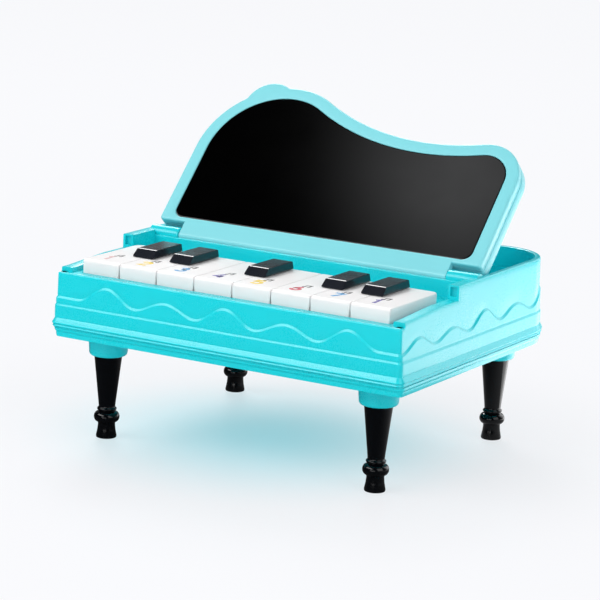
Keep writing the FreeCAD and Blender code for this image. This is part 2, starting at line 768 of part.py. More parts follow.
def moulded(label, shape):
    """Sub-part whose form is set from the shapes above."""
    made = doc.addObject("Part::Feature", label)
    made.Label = label
    made.Shape = shape
    return made


def placed(made, across="0", back="0", level="0"):
    """Bind a sub-part's position to the sheet."""
    made.setExpression("Placement.Base.x", across)
    made.setExpression("Placement.Base.y", back)
    made.setExpression("Placement.Base.z", level)
    return made


def primitive(kind, label, sizes, across="0", back="0", level="0"):
    """Box, cylinder, cone or wedge with its sizes and position bound to the sheet."""
    made = doc.addObject("Part::" + kind, label)
    made.Label = label
    for name, text in sizes.items():
        made.setExpression(name, text)
    return placed(made, across, back, level)


def fused(label, pieces):
    """Union of several document objects."""
    made = doc.addObject("Part::MultiFuse", label)
    made.Label = label
    made.Shapes = pieces
    made.Refine = True
    return made


def removed(label, base, tool):
    """One document object cut by another."""
    made = doc.addObject("Part::Cut", label)
    made.Label = label
    made.Base = base
    made.Tool = tool
    return made


def new_body(label):
    made = doc.addObject("PartDesign::Body", label)
    made.Label = label
    return made


def new_sketch(owner, name, role, offset="0"):
    """Sketch on one of the body's own origin planes, shifted along the plane's normal."""
    made = owner.newObject("Sketcher::SketchObject", name)
    origin_plane = [feature for feature in owner.Origin.OriginFeatures if feature.Role == role][0]
    made.AttachmentSupport = (origin_plane, [""])
    made.MapMode = "FlatFace"
    made.setExpression("AttachmentOffset.Base.z", offset)
    return made


def draw_polygon(on, corners):
    """Closed polygon in a sketch: each corner is bound by its two distances from the origin."""
    count = len(corners)
    first = on.GeometryCount
    turns = [2 * math.pi * index / count for index in range(count)]
    starts = [Vector(math.cos(turn), math.sin(turn), 0) for turn in turns]
    for index in range(count):
        on.addGeometry(Part.LineSegment(starts[index], starts[(index + 1) % count]), False)
    for index, texts in enumerate(corners):
        after = first + (index + 1) % count
        on.addConstraint(Sketcher.Constraint("Coincident", first + index, 2, after, 1))
        for kind, text, start in zip(("DistanceX", "DistanceY"), texts, starts[index]):
            number = on.addConstraint(Sketcher.Constraint(kind, -1, 1, first + index, 1, start))
            on.setExpression("Constraints[%d]" % number, text)
    return on


def draw_circle(on, across, up, radius):
    """Circle in a sketch, bound by its centre and radius."""
    index = on.addGeometry(Part.Circle(Vector(0, 0, 0), Vector(0, 0, 1), 1), False)
    for kind, text in (("DistanceX", across), ("DistanceY", up)):
        number = on.addConstraint(Sketcher.Constraint(kind, -1, 1, index, 3, 0.0))
        on.setExpression("Constraints[%d]" % number, text)
    number = on.addConstraint(Sketcher.Constraint("Radius", index, 1.0))
    on.setExpression("Constraints[%d]" % number, radius)
    return on


def rectangle(low, high):
    """Corners of an upright rectangle, as expressions."""
    return [(low[0], low[1]), (high[0], low[1]), (high[0], high[1]), (low[0], high[1])]


def pad(owner, name, profile, length, upwards=True):
    made = owner.newObject("PartDesign::Pad", name)
    made.Profile = profile
    made.Reversed = not upwards
    made.setExpression("Length", length)
    return made


def pocket(owner, name, profile, length, upwards=True):
    made = owner.newObject("PartDesign::Pocket", name)
    made.Profile = profile
    made.Reversed = upwards
    made.setExpression("Length", length)
    return made


def turned(label, corners):
    """Body turned about its upright axis from a half profile."""
    owner = new_body(label)
    profile = draw_polygon(new_sketch(owner, label + "_profile", "XZ_Plane"), corners)
    made = owner.newObject("PartDesign::Revolution", label + "_turning")
    made.Profile = profile
    made.ReferenceAxis = (profile, ["V_Axis"])
    made.Angle = 360
    return owner


def round_edges(owner, name, radius, chosen):
    """Fillet on the edges of the body's last feature that a test picks."""
    doc.recompute()
    base = owner.Tip
    names = ["Edge%d" % (index + 1) for index, edge in enumerate(base.Shape.Edges) if chosen(edge)]
    made = owner.newObject("PartDesign::Fillet", name)
    made.Base = (base, names)
    made.setExpression("Radius", radius)
    return made


nodes = []


def keep(made):
    """Enter a finished sub-part in the list of those that are written out."""
    nodes.append(made)
    return made


# Case and lid

keep(moulded("upper_case", upper_case_shape()))
keep(moulded("bottom_cover", bottom_cover_shape()))
for label, shape in (("lid_frame", lid_frame_shape()), ("lid_panel", lid_panel_shape())):
    lid_piece = keep(placed(moulded(label, shape), "0", HINGE_Y_TEXT, HINGE_Z_TEXT))
    lid_piece.Placement.Rotation = FreeCAD.Rotation(Vector(1, 0, 0), 1)
    lid_piece.setExpression("Placement.Rotation.Angle", "dims.lid_rest_angle")

# Legs: turned, with a tapered shaft, a small bead, a round ring and a flared foot

LEG_PROFILE = [
    ("0", "0"),
    ("dims.leg_toe_radius", "0"),
    ("dims.leg_toe_radius", "dims.leg_toe_height"),
    ("dims.leg_foot_radius", "dims.leg_ring_level"),
    ("dims.leg_ring_radius", "dims.leg_ring_level"),
    ("dims.leg_ring_radius", "dims.leg_ring_level + dims.leg_ring_height"),
    ("dims.leg_neck_radius", "dims.leg_ring_level + dims.leg_ring_height"),
    ("dims.leg_neck_radius", "dims.leg_bead_level"),
    ("dims.leg_bead_radius", "dims.leg_bead_level"),
    ("dims.leg_bead_radius", "dims.leg_bead_level + dims.leg_bead_height"),
    ("dims.leg_neck_radius", "dims.leg_bead_level + dims.leg_bead_height"),
    ("dims.leg_neck_radius", "dims.leg_neck_level"),
    ("dims.leg_top_radius", "dims.socket_level"),
    ("dims.leg_plug_radius", "dims.socket_level"),
    ("dims.leg_plug_radius", "dims.socket_level + dims.leg_plug_length"),
    ("0", "dims.socket_level + dims.leg_plug_length"),
]


RING_ROUND_TEXT = ("dims.leg_ring_roundness * min(dims.leg_ring_height / 2; "
                   "dims.leg_ring_radius - dims.leg_foot_radius; "
                   "dims.leg_ring_radius - dims.leg_neck_radius)")


def leg(label, side, back):
    made = turned(label, LEG_PROFILE)
    ring = size("leg_ring_radius") - size("running_gap")
    low = size("leg_ring_level") - size("running_gap")
    high = low + size("leg_ring_height") + 2 * size("running_gap")

    def on_ring(edge):
        circle = hasattr(edge.Curve, "Radius") and edge.Curve.Radius > ring
        return circle and low < edge.BoundBox.ZMin and edge.BoundBox.ZMax < high

    round_edges(made, label + "_ring", RING_ROUND_TEXT, on_ring)
    return placed(made, "%d * (%s - dims.leg_side)" % (side, HALF_WIDTH_TEXT), back)


LEG_FRONT_TEXT = "%s + dims.leg_front" % FRONT_TEXT
LEG_REAR_TEXT = "%s - dims.tail_drop" % TAIL_TEXT
for end, back in (("front", LEG_FRONT_TEXT), ("rear", LEG_REAR_TEXT)):
    for name, side in (("left", -1), ("right", 1)):
        keep(leg("leg_%s_%s" % (end, name), side, back))


# White keys, each drawn with its pivot at the body's own origin

KEY_NOSE_TEXT = "(-dims.pivot_behind - %s)" % KEY_LENGTH_TEXT


def key_corners(left_notch, right_notch):
    """Plan of a key: a rectangle, notched on a side where a black key's stem passes."""
    half = "((%s - dims.key_gap) / 2)" % PITCH_TEXT
    front = "(%s)" % KEY_NOSE_TEXT
    rear = "(-dims.pivot_behind)"
    stem = "(%s + %s + dims.stem_front)" % (KEY_NOSE_TEXT, BLACK_SETBACK_TEXT)
    notch = "(%s / 2 - dims.stem_width / 2 - dims.stem_clear)" % PITCH_TEXT
    notch_front = "(%s - dims.stem_end_clear)" % stem
    notch_rear = "(%s + %s + dims.stem_end_clear)" % (stem, STEM_LENGTH_TEXT)
    corners = [("-" + half, front), (half, front)]
    if right_notch:
        corners += [(half, notch_front), (notch, notch_front), (notch, notch_rear), (half, notch_rear)]
    corners += [(half, rear), ("-" + half, rear)]
    if left_notch:
        corners += [("-" + half, notch_rear), ("-" + notch, notch_rear),
                    ("-" + notch, notch_front), ("-" + half, notch_front)]
    return corners


def white_key(number):
    """Hollow key on a lever with its hub and plunger. The two end keys have a round outer rear corner."""
    label = "white_key_%d" % number
    made = new_body(label)
    cap_bottom = "(dims.pivot_drop - dims.key_height)"
    plan = new_sketch(made, label + "_plan", "XY_Plane", cap_bottom)
    draw_polygon(plan, key_corners(number - 1 in BLACK_GAPS, number in BLACK_GAPS))
    pad(made, label + "_cap", plan, "dims.key_height")
    outer = {1: -1, KEY_COUNT: 1}.get(number, 0)

    def on_outer_corner(edge):
        upright = edge.BoundBox.ZLength > size("key_height") / 2
        at_rear = edge.BoundBox.YMin > -size("pivot_behind") - size("running_gap")
        return upright and at_rear and edge.BoundBox.Center.x * outer > 0

    if outer:
        round_edges(made, label + "_corner", "dims.key_end_round", on_outer_corner)
    room = new_sketch(made, label + "_room", "XY_Plane", cap_bottom)
    room_half = "(%s / 2 - dims.stem_width / 2 - dims.stem_clear - dims.key_wall)" % PITCH_TEXT
    draw_polygon(room, rectangle(
        ("-" + room_half, "%s + dims.key_wall" % KEY_NOSE_TEXT),
        (room_half, "-dims.pivot_behind - dims.key_wall")))
    pocket(made, label + "_hollow", room, "dims.key_height - dims.key_wall")
    arm = new_sketch(made, label + "_arm_plan", "XY_Plane", cap_bottom)
    draw_polygon(arm, rectangle(
        ("-dims.arm_width / 2", "-dims.pivot_behind - dims.key_wall"),
        ("dims.arm_width / 2", "0")))
    pad(made, label + "_arm", arm, "dims.arm_thick")
    hub = new_sketch(made, label + "_hub_round", "YZ_Plane", "-dims.arm_width / 2")
    draw_circle(hub, "0", "0", "dims.hub_radius")
    pad(made, label + "_hub", hub, "dims.arm_width")
    bore = new_sketch(made, label + "_bore_round", "YZ_Plane", "-dims.arm_width / 2")
    draw_circle(bore, "0", "0", "dims.rod_radius + dims.running_gap")
    pocket(made, label + "_bore", bore, "dims.arm_width")
    plunger = new_sketch(made, label + "_plunger_round", "XY_Plane", PLUNGER_END_TEXT)
    draw_circle(plunger, "0", "%s + %s" % (KEY_NOSE_TEXT, PLUNGER_BACK_TEXT), "dims.plunger_radius")
    pad(made, label + "_plunger", plunger, "dims.pivot_drop - dims.key_wall - %s" % PLUNGER_END_TEXT)
    top = size("pivot_drop") - size("running_gap")

    def on_top_end(edge):
        level = edge.BoundBox.ZMin > top
        across = edge.BoundBox.XLength > size("arm_width")
        return level and across

    round_edges(made, label + "_edges", "dims.key_round", on_top_end)
    across = "%s * %s" % (number - (KEY_COUNT + 1) / 2, PITCH_TEXT)
    return placed(made, across, PIVOT_Y_TEXT, PIVOT_Z_TEXT)


for number in range(1, KEY_COUNT + 1):
    keep(white_key(number))

# Pivot rod: one steel rod through all the key hubs, held in the frame's combs

rod = primitive("Cylinder", "key_pivot_rod",
                {"Radius": "dims.rod_radius", "Height": "2 * (%s + dims.comb_thick)" % KEY_SPAN_TEXT},
                "-(%s + dims.comb_thick)" % KEY_SPAN_TEXT, PIVOT_Y_TEXT, PIVOT_Z_TEXT)
rod.Placement.Rotation = FreeCAD.Rotation(Vector(0, 1, 0), 90)
keep(rod)

# Black keys: fixed, each with a stem that goes down between two white keys into the frame

BLACK_LEVEL_TEXT = "(dims.key_top + dims.black_lift - dims.frame_level)"


def black_key(number, gap):
    label = "black_key_%d" % number
    top = primitive("Wedge", label + "_top", {
        "Xmin": "-dims.black_width / 2", "Xmax": "dims.black_width / 2",
        "X2min": "(dims.black_narrowing - dims.black_width) / 2",
        "X2max": "(dims.black_width - dims.black_narrowing) / 2",
        "Ymin": BLACK_LEVEL_TEXT, "Ymax": "%s + dims.black_height" % BLACK_LEVEL_TEXT,
        "Zmin": "-%s" % BLACK_LENGTH_TEXT, "Zmax": "0",
        "Z2min": "dims.black_rear_lean - %s" % BLACK_LENGTH_TEXT, "Z2max": "-dims.black_front_lean"})
    top.Placement.Rotation = FreeCAD.Rotation(Vector(1, 0, 0), 90)
    stem = primitive("Box", label + "_stem", {
        "Length": "dims.stem_width", "Width": STEM_LENGTH_TEXT, "Height": BLACK_LEVEL_TEXT},
        "-dims.stem_width / 2", "dims.stem_front", "0")
    plain = fused(label + "_plain", [top, stem])
    doc.recompute()
    level = size("key_top") + size("black_lift") - size("frame_level")
    radius = size("black_round")
    rounded = [index + 1 for index, edge in enumerate(plain.Shape.Edges)
               if edge.BoundBox.ZMax > level + radius]
    made = doc.addObject("Part::Fillet", label)
    made.Label = label
    made.Base = plain
    made.Edges = [(index, radius, radius) for index in rounded]
    across = "%s * %s" % (gap - KEY_COUNT / 2, PITCH_TEXT)
    back = "%s + %s" % (KEY_FRONT_TEXT, BLACK_SETBACK_TEXT)
    return placed(made, across, back, "dims.frame_level")


for number, gap in enumerate(BLACK_GAPS, start=1):
    keep(black_key(number, gap))

# Key frame: a plate with combs for the rod, sockets for the black keys and pegs for the board

FRAME_HALF_TEXT = "(%s - dims.case_wall - dims.frame_side_gap)" % HALF_WIDTH_TEXT
FRAME_UNDER_TEXT = "(dims.frame_level - dims.frame_thick)"
BOARD_FRONT_TEXT = "(%s + dims.board_front)" % KEY_FRONT_TEXT
BOARD_HALF_TEXT = "(%s - dims.board_end_gap)" % KEY_SPAN_TEXT
STRIP_HALF_TEXT = "(%s - dims.strip_end_gap)" % KEY_SPAN_TEXT
PLUNGER_Y_TEXT = "(%s + %s)" % (KEY_FRONT_TEXT, PLUNGER_BACK_TEXT)
PEG_BACK_TEXT = "(%s + 2 * dims.peg_radius)" % BOARD_FRONT_TEXT
PEG_ACROSS_TEXT = "(%s - %s)" % (KEY_SPAN_TEXT, PITCH_TEXT)
SOCKET_FRONT_TEXT = "(%s + %s + dims.stem_front)" % (KEY_FRONT_TEXT, BLACK_SETBACK_TEXT)
FRAME_SCREW_TEXTS = ("%s + dims.frame_boss_front" % KEY_FRONT_TEXT,
                     "%s - dims.frame_boss_rear" % KEY_REAR_TEXT)


def socket_box(label, gap, wall, bottom, height):
    """Box round a black key's stem, larger than it by a wall thickness on every side."""
    across = "(%s * %s)" % (gap - KEY_COUNT / 2, PITCH_TEXT)
    return primitive("Box", label, {
        "Length": "dims.stem_width + 2 * (%s)" % wall, "Width": "%s + 2 * (%s)" % (STEM_LENGTH_TEXT, wall),
        "Height": height},
        "%s - dims.stem_width / 2 - (%s)" % (across, wall), "%s - (%s)" % (SOCKET_FRONT_TEXT, wall), bottom)


def key_frame():
    solids = [primitive("Box", "frame_plate", {
        "Length": "2 * %s" % FRAME_HALF_TEXT, "Height": "dims.frame_thick",
        "Width": "%s + dims.pivot_behind + dims.comb_length / 2 + dims.frame_tail - dims.frame_front" % (
            KEY_LENGTH_TEXT)},
        "-%s" % FRAME_HALF_TEXT, "%s + dims.frame_front" % KEY_FRONT_TEXT, FRAME_UNDER_TEXT)]
    holes = []
    comb_places = ["(%d * %s)" % (gap - KEY_COUNT // 2, PITCH_TEXT) for gap in range(1, KEY_COUNT)]
    comb_places += ["(%d * (%s + dims.comb_thick / 2))" % (side, KEY_SPAN_TEXT) for side in (-1, 1)]
    for index, across in enumerate(comb_places):
        solids.append(primitive("Box", "frame_comb_%d" % index, {
            "Length": "dims.comb_thick", "Width": "dims.comb_length",
            "Height": "%s + dims.hub_radius - %s" % (PIVOT_Z_TEXT, FRAME_UNDER_TEXT)},
            "%s - dims.comb_thick / 2" % across, "%s - dims.comb_length / 2" % PIVOT_Y_TEXT,
            FRAME_UNDER_TEXT))
    for gap in BLACK_GAPS:
        wall = "dims.fit_gap + dims.socket_wall"
        solids.append(socket_box("frame_socket_%d" % gap, gap, wall, FRAME_UNDER_TEXT,
                                 "dims.frame_thick + dims.socket_rise"))
        holes.append(socket_box("frame_socket_room_%d" % gap, gap, "dims.fit_gap", "dims.frame_level",
                                "dims.frame_thick + dims.socket_rise"))
    for side in (-1, 1):
        solids.append(primitive("Cylinder", "frame_peg_%d" % (side + 1), {
            "Radius": "dims.peg_radius", "Height": "dims.frame_thick + dims.board_thick + dims.peg_rise"},
            "%d * %s" % (side, PEG_ACROSS_TEXT), PEG_BACK_TEXT, FRAME_UNDER_TEXT))
        for index, back in enumerate(FRAME_SCREW_TEXTS):
            holes.append(primitive("Cylinder", "frame_hole_%d_%d" % (index, side + 1), {
                "Radius": "dims.screw_radius + dims.fit_gap", "Height": "dims.frame_thick"},
                "%d * %s" % (side, CORNER_BOSS_TEXT), back, FRAME_UNDER_TEXT))
    bore = primitive("Cylinder", "frame_rod_bore", {
        "Radius": "dims.rod_radius + dims.running_gap",
        "Height": "2 * (%s + dims.comb_thick)" % KEY_SPAN_TEXT},
        "-(%s + dims.comb_thick)" % KEY_SPAN_TEXT, PIVOT_Y_TEXT, PIVOT_Z_TEXT)
    bore.Placement.Rotation = FreeCAD.Rotation(Vector(0, 1, 0), 90)
    return removed("key_frame", fused("frame_solids", solids), fused("frame_holes", holes + [bore]))


keep(key_frame())


# Circuit board on the frame and the rubber contact strip on the board

def circuit_board():
    plate = primitive("Box", "board_plate", {
        "Length": "2 * %s" % BOARD_HALF_TEXT, "Width": "2 * (%s - dims.board_front)" % PLUNGER_BACK_TEXT,
        "Height": "dims.board_thick"},
        "-%s" % BOARD_HALF_TEXT, BOARD_FRONT_TEXT, "dims.frame_level")
    holes = [primitive("Cylinder", "board_hole_%d" % (side + 1), {
        "Radius": "dims.peg_radius + dims.fit_gap", "Height": "dims.board_thick"},
        "%d * %s" % (side, PEG_ACROSS_TEXT), PEG_BACK_TEXT, "dims.frame_level") for side in (-1, 1)]
    return removed("circuit_board", plate, fused("board_holes", holes))


def contact_strip():
    pieces = [primitive("Box", "strip_sheet", {
        "Length": "2 * %s" % STRIP_HALF_TEXT, "Width": "dims.strip_front + dims.strip_rear",
        "Height": "dims.strip_thick"},
        "-%s" % STRIP_HALF_TEXT, "%s - dims.strip_front" % PLUNGER_Y_TEXT, STRIP_LEVEL_TEXT)]
    for number in range(1, KEY_COUNT + 1):
        pieces.append(primitive("Cone", "strip_dome_%d" % number, {
            "Radius1": "dims.dome_radius", "Radius2": "dims.dome_top_radius",
            "Height": "dims.strip_thick + dims.dome_height"},
            "%s * %s" % (number - (KEY_COUNT + 1) / 2, PITCH_TEXT), PLUNGER_Y_TEXT, STRIP_LEVEL_TEXT))
    return fused("contact_strip", pieces)


keep(circuit_board())
keep(contact_strip())


# Speaker: pressed basket, paper cone and magnet, face down in a ring on the bottom cover

BOX_HALF_TEXT = "((dims.cell_length + dims.cell_nub_length + dims.spring_length) / 2 + dims.contact_thick)"
BOX_SIDE_TEXT = "(%s + dims.box_wall)" % BOX_HALF_TEXT
SIDE_WALL_TEXT = "(%s - dims.case_wall - dims.lip_thick)" % HALF_WIDTH_TEXT
SPEAKER_RADIUS_TEXT = "((%s - %s) / 2 - dims.speaker_margin - dims.fit_gap - dims.box_wall)" % (
    SIDE_WALL_TEXT, BOX_SIDE_TEXT)
SPEAKER_ACROSS_TEXT = "-(%s + %s) / 2" % (SIDE_WALL_TEXT, BOX_SIDE_TEXT)
SPEAKER_BACK_TEXT = "%s - dims.speaker_tail" % TAIL_TEXT
CONE_RADIUS_TEXT = "(%s - dims.cone_inset)" % SPEAKER_RADIUS_TEXT
BASKET_RADIUS_TEXT = "(dims.basket_share * %s)" % SPEAKER_RADIUS_TEXT


def speaker_piece(label, corners):
    return placed(turned(label, corners), SPEAKER_ACROSS_TEXT, SPEAKER_BACK_TEXT, BASE_TOP_TEXT)


keep(speaker_piece("speaker_frame", [
    ("0", "dims.basket_height"),
    (BASKET_RADIUS_TEXT, "dims.basket_height"),
    ("%s + dims.sheet_metal" % CONE_RADIUS_TEXT, "0"),
    (SPEAKER_RADIUS_TEXT, "0"),
    (SPEAKER_RADIUS_TEXT, "dims.speaker_flange"),
    ("%s + 2 * dims.sheet_metal" % CONE_RADIUS_TEXT, "dims.speaker_flange"),
    ("%s + dims.sheet_metal" % BASKET_RADIUS_TEXT, "dims.basket_height + dims.sheet_metal"),
    ("0", "dims.basket_height + dims.sheet_metal"),
]))
keep(speaker_piece("speaker_cone", [
    ("0", "dims.cone_depth"),
    ("dims.coil_radius", "dims.cone_depth"),
    ("%s - dims.paper_thick" % CONE_RADIUS_TEXT, "0"),
    (CONE_RADIUS_TEXT, "0"),
    (CONE_RADIUS_TEXT, "dims.paper_thick"),
    ("dims.coil_radius", "dims.cone_depth + dims.paper_thick"),
    ("0", "dims.cone_depth + dims.paper_thick"),
]))
keep(primitive("Cylinder", "speaker_magnet", {
    "Radius": "dims.magnet_share * %s" % SPEAKER_RADIUS_TEXT, "Height": "dims.magnet_height"},
    SPEAKER_ACROSS_TEXT, SPEAKER_BACK_TEXT,
    "%s + dims.basket_height + dims.sheet_metal" % BASE_TOP_TEXT))


# Battery box: three cells side by side, sheet contacts with springs, and a screwed door

BOX_BACK_TEXT = "(%s - dims.box_tail)" % TAIL_TEXT
CELL_LEVEL_TEXT = "(%s + dims.cell_rise + dims.cell_radius)" % BASE_TOP_TEXT
BOX_DEEP_TEXT = "(dims.cell_pitch + dims.cell_radius + dims.door_gap)"
DOOR_EAR_TEXT = "(%s + dims.door_margin)" % BOX_HALF_TEXT
CELL_COUNT = 3


def lying(made, side):
    """Turn an upright round piece to lie along X, pointing to one side."""
    made.Placement.Rotation = FreeCAD.Rotation(Vector(0, 1, 0), 90 * side)
    return made


def cell_row(index):
    """Direction in which a cell points and its position across the box."""
    side = 1 if index % 2 else -1
    return side, "%s + %d * dims.cell_pitch" % (BOX_BACK_TEXT, index - CELL_COUNT // 2)


def battery_cell(index):
    side, back = cell_row(index)
    spring_end = "%d * (%s - dims.contact_thick - dims.spring_length)" % (-side, BOX_HALF_TEXT)
    can = primitive("Cylinder", "cell_can_%d" % index, {
        "Radius": "dims.cell_radius", "Height": "dims.cell_length"}, spring_end, back, CELL_LEVEL_TEXT)
    nub = primitive("Cylinder", "cell_nub_%d" % index, {
        "Radius": "dims.cell_nub_radius", "Height": "dims.cell_length + dims.cell_nub_length"},
        spring_end, back, CELL_LEVEL_TEXT)
    return fused("cell_%d" % index, [lying(can, side), lying(nub, side)])


def battery_contact(index):
    """A flat plate at the nub end, and a plate with a tapered spring at the other end."""
    side, back = cell_row(index)
    plates = []
    for name, end in (("flat", side), ("spring", -side)):
        left = "-%s" % BOX_HALF_TEXT if end < 0 else "%s - dims.contact_thick" % BOX_HALF_TEXT
        plates.append(primitive("Box", "contact_%s_%d" % (name, index), {
            "Length": "dims.contact_thick", "Width": "dims.contact_width", "Height": "dims.contact_width"},
            left, "%s - dims.contact_width / 2" % back, "%s - dims.contact_width / 2" % CELL_LEVEL_TEXT))
    spring = primitive("Cone", "contact_coil_%d" % index, {
        "Radius1": "dims.contact_width / 2", "Radius2": "dims.contact_width / 4",
        "Height": "dims.spring_length"},
        "%d * (%s - dims.contact_thick)" % (-side, BOX_HALF_TEXT), back, CELL_LEVEL_TEXT)
    return [plates[0], fused("contact_sprung_%d" % index, [plates[1], lying(spring, side)])]


def grouped(label, pieces):
    """Several separate solids kept as one sub-part."""
    made = doc.addObject("Part::Compound", label)
    made.Label = label
    made.Links = pieces
    return made


def battery_door():
    half = "(%s + dims.door_margin - dims.door_gap)" % BOX_HALF_TEXT
    deep = "(%s + dims.door_margin - dims.door_gap)" % BOX_DEEP_TEXT
    plug_half = "(%s - dims.door_gap)" % BOX_HALF_TEXT
    plug_deep = "(%s - dims.door_gap)" % BOX_DEEP_TEXT
    flange = primitive("Box", "door_plate", {
        "Length": "2 * %s" % half, "Width": "2 * %s" % deep, "Height": "dims.door_flange"},
        "-%s" % half, "%s - %s" % (BOX_BACK_TEXT, deep), "dims.base_level")
    plug = primitive("Box", "door_plug", {
        "Length": "2 * %s" % plug_half, "Width": "2 * %s" % plug_deep, "Height": "dims.base_thick"},
        "-%s" % plug_half, "%s - %s" % (BOX_BACK_TEXT, plug_deep), "dims.base_level")
    ear = primitive("Cylinder", "door_ear", {
        "Radius": "dims.door_ear_radius - dims.door_gap", "Height": "dims.door_flange"},
        DOOR_EAR_TEXT, BOX_BACK_TEXT, "dims.base_level")
    head = primitive("Cylinder", "door_head_room", {
        "Radius": "dims.screw_head_radius + dims.fit_gap", "Height": "dims.door_head_thick"},
        DOOR_EAR_TEXT, BOX_BACK_TEXT, "dims.base_level")
    hole = primitive("Cylinder", "door_screw_room", {
        "Radius": "dims.screw_radius + dims.fit_gap", "Height": "dims.base_thick"},
        DOOR_EAR_TEXT, BOX_BACK_TEXT, "dims.base_level")
    solids = fused("door_solids", [flange, plug, ear])
    return removed("battery_door", solids, fused("door_holes", [head, hole]))


cells = range(CELL_COUNT)
keep(grouped("battery_cells", [battery_cell(index) for index in cells]))
keep(grouped("battery_contacts", sum([battery_contact(index) for index in cells], [])))
keep(battery_door())


# Slide switch: a body on the bottom cover and a ridged knob in the cover's slot

SWITCH_BACK_TEXT = "(%s - dims.switch_tail)" % TAIL_TEXT
SWITCH_ACROSS_TEXT = "(%s + dims.door_ear_radius + dims.switch_gap)" % DOOR_EAR_TEXT
KNOB_LEFT_TEXT = "(%s - dims.knob_travel / 2 - dims.knob_length / 2)" % SWITCH_ACROSS_TEXT
KNOB_RIDGES = 3
RIDGE_TEXT = "(dims.knob_length / %d)" % (2 * KNOB_RIDGES - 1)


def power_switch_body():
    shell = primitive("Box", "switch_shell", {
        "Length": "dims.switch_length", "Width": "dims.switch_width", "Height": "dims.switch_height"},
        "%s - dims.switch_length / 2" % SWITCH_ACROSS_TEXT, "%s - dims.switch_width / 2" % SWITCH_BACK_TEXT,
        BASE_TOP_TEXT)
    room = primitive("Box", "switch_room", {
        "Length": "dims.knob_stub + dims.knob_travel + 2 * dims.knob_gap",
        "Width": "dims.knob_stub + 2 * dims.knob_gap", "Height": "dims.knob_stub + dims.knob_gap"},
        "%s - (dims.knob_stub + dims.knob_travel) / 2 - dims.knob_gap" % SWITCH_ACROSS_TEXT,
        "%s - dims.knob_stub / 2 - dims.knob_gap" % SWITCH_BACK_TEXT, BASE_TOP_TEXT)
    return removed("power_switch_body", shell, room)


def power_switch_knob():
    low = "(dims.base_level + dims.knob_ridge)"
    solids = [primitive("Box", "knob_block", {
        "Length": "dims.knob_length", "Width": "dims.knob_width", "Height": "%s - dims.knob_gap - %s" % (
            BASE_TOP_TEXT, low)},
        KNOB_LEFT_TEXT, "%s - dims.knob_width / 2" % SWITCH_BACK_TEXT, low)]
    for index in range(KNOB_RIDGES):
        solids.append(primitive("Box", "knob_ridge_%d" % index, {
            "Length": RIDGE_TEXT, "Width": "dims.knob_width", "Height": "2 * dims.knob_ridge"},
            "%s + %d * %s" % (KNOB_LEFT_TEXT, 2 * index, RIDGE_TEXT),
            "%s - dims.knob_width / 2" % SWITCH_BACK_TEXT, "dims.base_level"))
    solids.append(primitive("Box", "knob_tongue", {
        "Length": "dims.knob_stub", "Width": "dims.knob_stub", "Height": "%s + dims.knob_stub - %s" % (
            BASE_TOP_TEXT, low)},
        "%s + dims.knob_length / 2 - dims.knob_stub / 2" % KNOB_LEFT_TEXT,
        "%s - dims.knob_stub / 2" % SWITCH_BACK_TEXT, low))
    return fused("power_switch_knob", solids)


keep(power_switch_body())
keep(power_switch_knob())


# Screws: round heads below, shanks up into the bosses

def screw(label, across, back, seat, tip, head="dims.screw_head_thick", wide="dims.screw_head_radius"):
    """One screw whose head lies under a seat level and whose shank ends at a tip level."""
    top = primitive("Cylinder", label + "_head", {"Radius": wide, "Height": head},
                    across, back, "%s - %s" % (seat, head))
    shank = primitive("Cylinder", label + "_shank", {
        "Radius": "dims.screw_radius", "Height": "%s - (%s) + %s" % (tip, seat, head)},
        across, back, "%s - %s" % (seat, head))
    return fused(label, [top, shank])


CASE_SEAT_TEXT = "(dims.base_level + dims.screw_head_thick + dims.fit_gap)"
CASE_TIP_TEXT = "(dims.split_level + dims.screw_length)"
CASE_SCREW_TEXTS = []
for side in (-1, 1):
    CASE_SCREW_TEXTS.append(("%d * %s" % (side, CORNER_BOSS_TEXT),
                             "%s + dims.corner_boss_inset" % FRONT_TEXT))
    CASE_SCREW_TEXTS.append(("%d * (%s - dims.side_boss_inset)" % (side, HALF_WIDTH_TEXT),
                             "%s - dims.side_boss_ahead" % RAIL_FRONT_TEXT))
CASE_SCREW_TEXTS.append(("%s - dims.tail_corner - dims.tail_boss_inset" % HALF_WIDTH_TEXT,
                         "%s - dims.tail_drop + dims.tail_boss_inset" % TAIL_TEXT))
CASE_SCREW_TEXTS.append(("dims.hump_radius - %s" % HALF_WIDTH_TEXT,
                         "%s - dims.hump_boss_inset" % TAIL_TEXT))
keep(grouped("case_screws", [
    screw("case_screw_%d" % index, across, back, CASE_SEAT_TEXT, CASE_TIP_TEXT)
    for index, (across, back) in enumerate(CASE_SCREW_TEXTS)]))
frame_screw_ends = [(side, back) for side in (-1, 1) for back in FRAME_SCREW_TEXTS]
keep(grouped("frame_screws", [
    screw("frame_screw_%d" % index, "%d * %s" % (side, CORNER_BOSS_TEXT), back, FRAME_UNDER_TEXT,
          "(dims.frame_level + dims.screw_length)", wide="dims.frame_head_radius")
    for index, (side, back) in enumerate(frame_screw_ends)]))
keep(screw("door_screw", DOOR_EAR_TEXT, BOX_BACK_TEXT, "(dims.base_level + dims.door_head_thick)",
           "(dims.base_level + dims.screw_length)", "dims.door_head_thick"))

# Check every object and write the sub-parts

doc.recompute()
for made in doc.Objects:
    if "Invalid" in made.State or "Error" in made.State:
        raise RuntimeError("%s did not compute" % made.Label)
os.makedirs("parts", exist_ok=True)
for made in nodes:
    if made.Shape.isNull() or not made.Shape.isValid():
        raise RuntimeError("%s has no valid shape" % made.Label)
    made.Shape.exportStep("parts/%s.step" % made.Label)
    print(made.Label, round(made.Shape.Volume, 1), len(made.Shape.Solids))
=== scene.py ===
import bpy
import numpy as np
from mathutils import Matrix


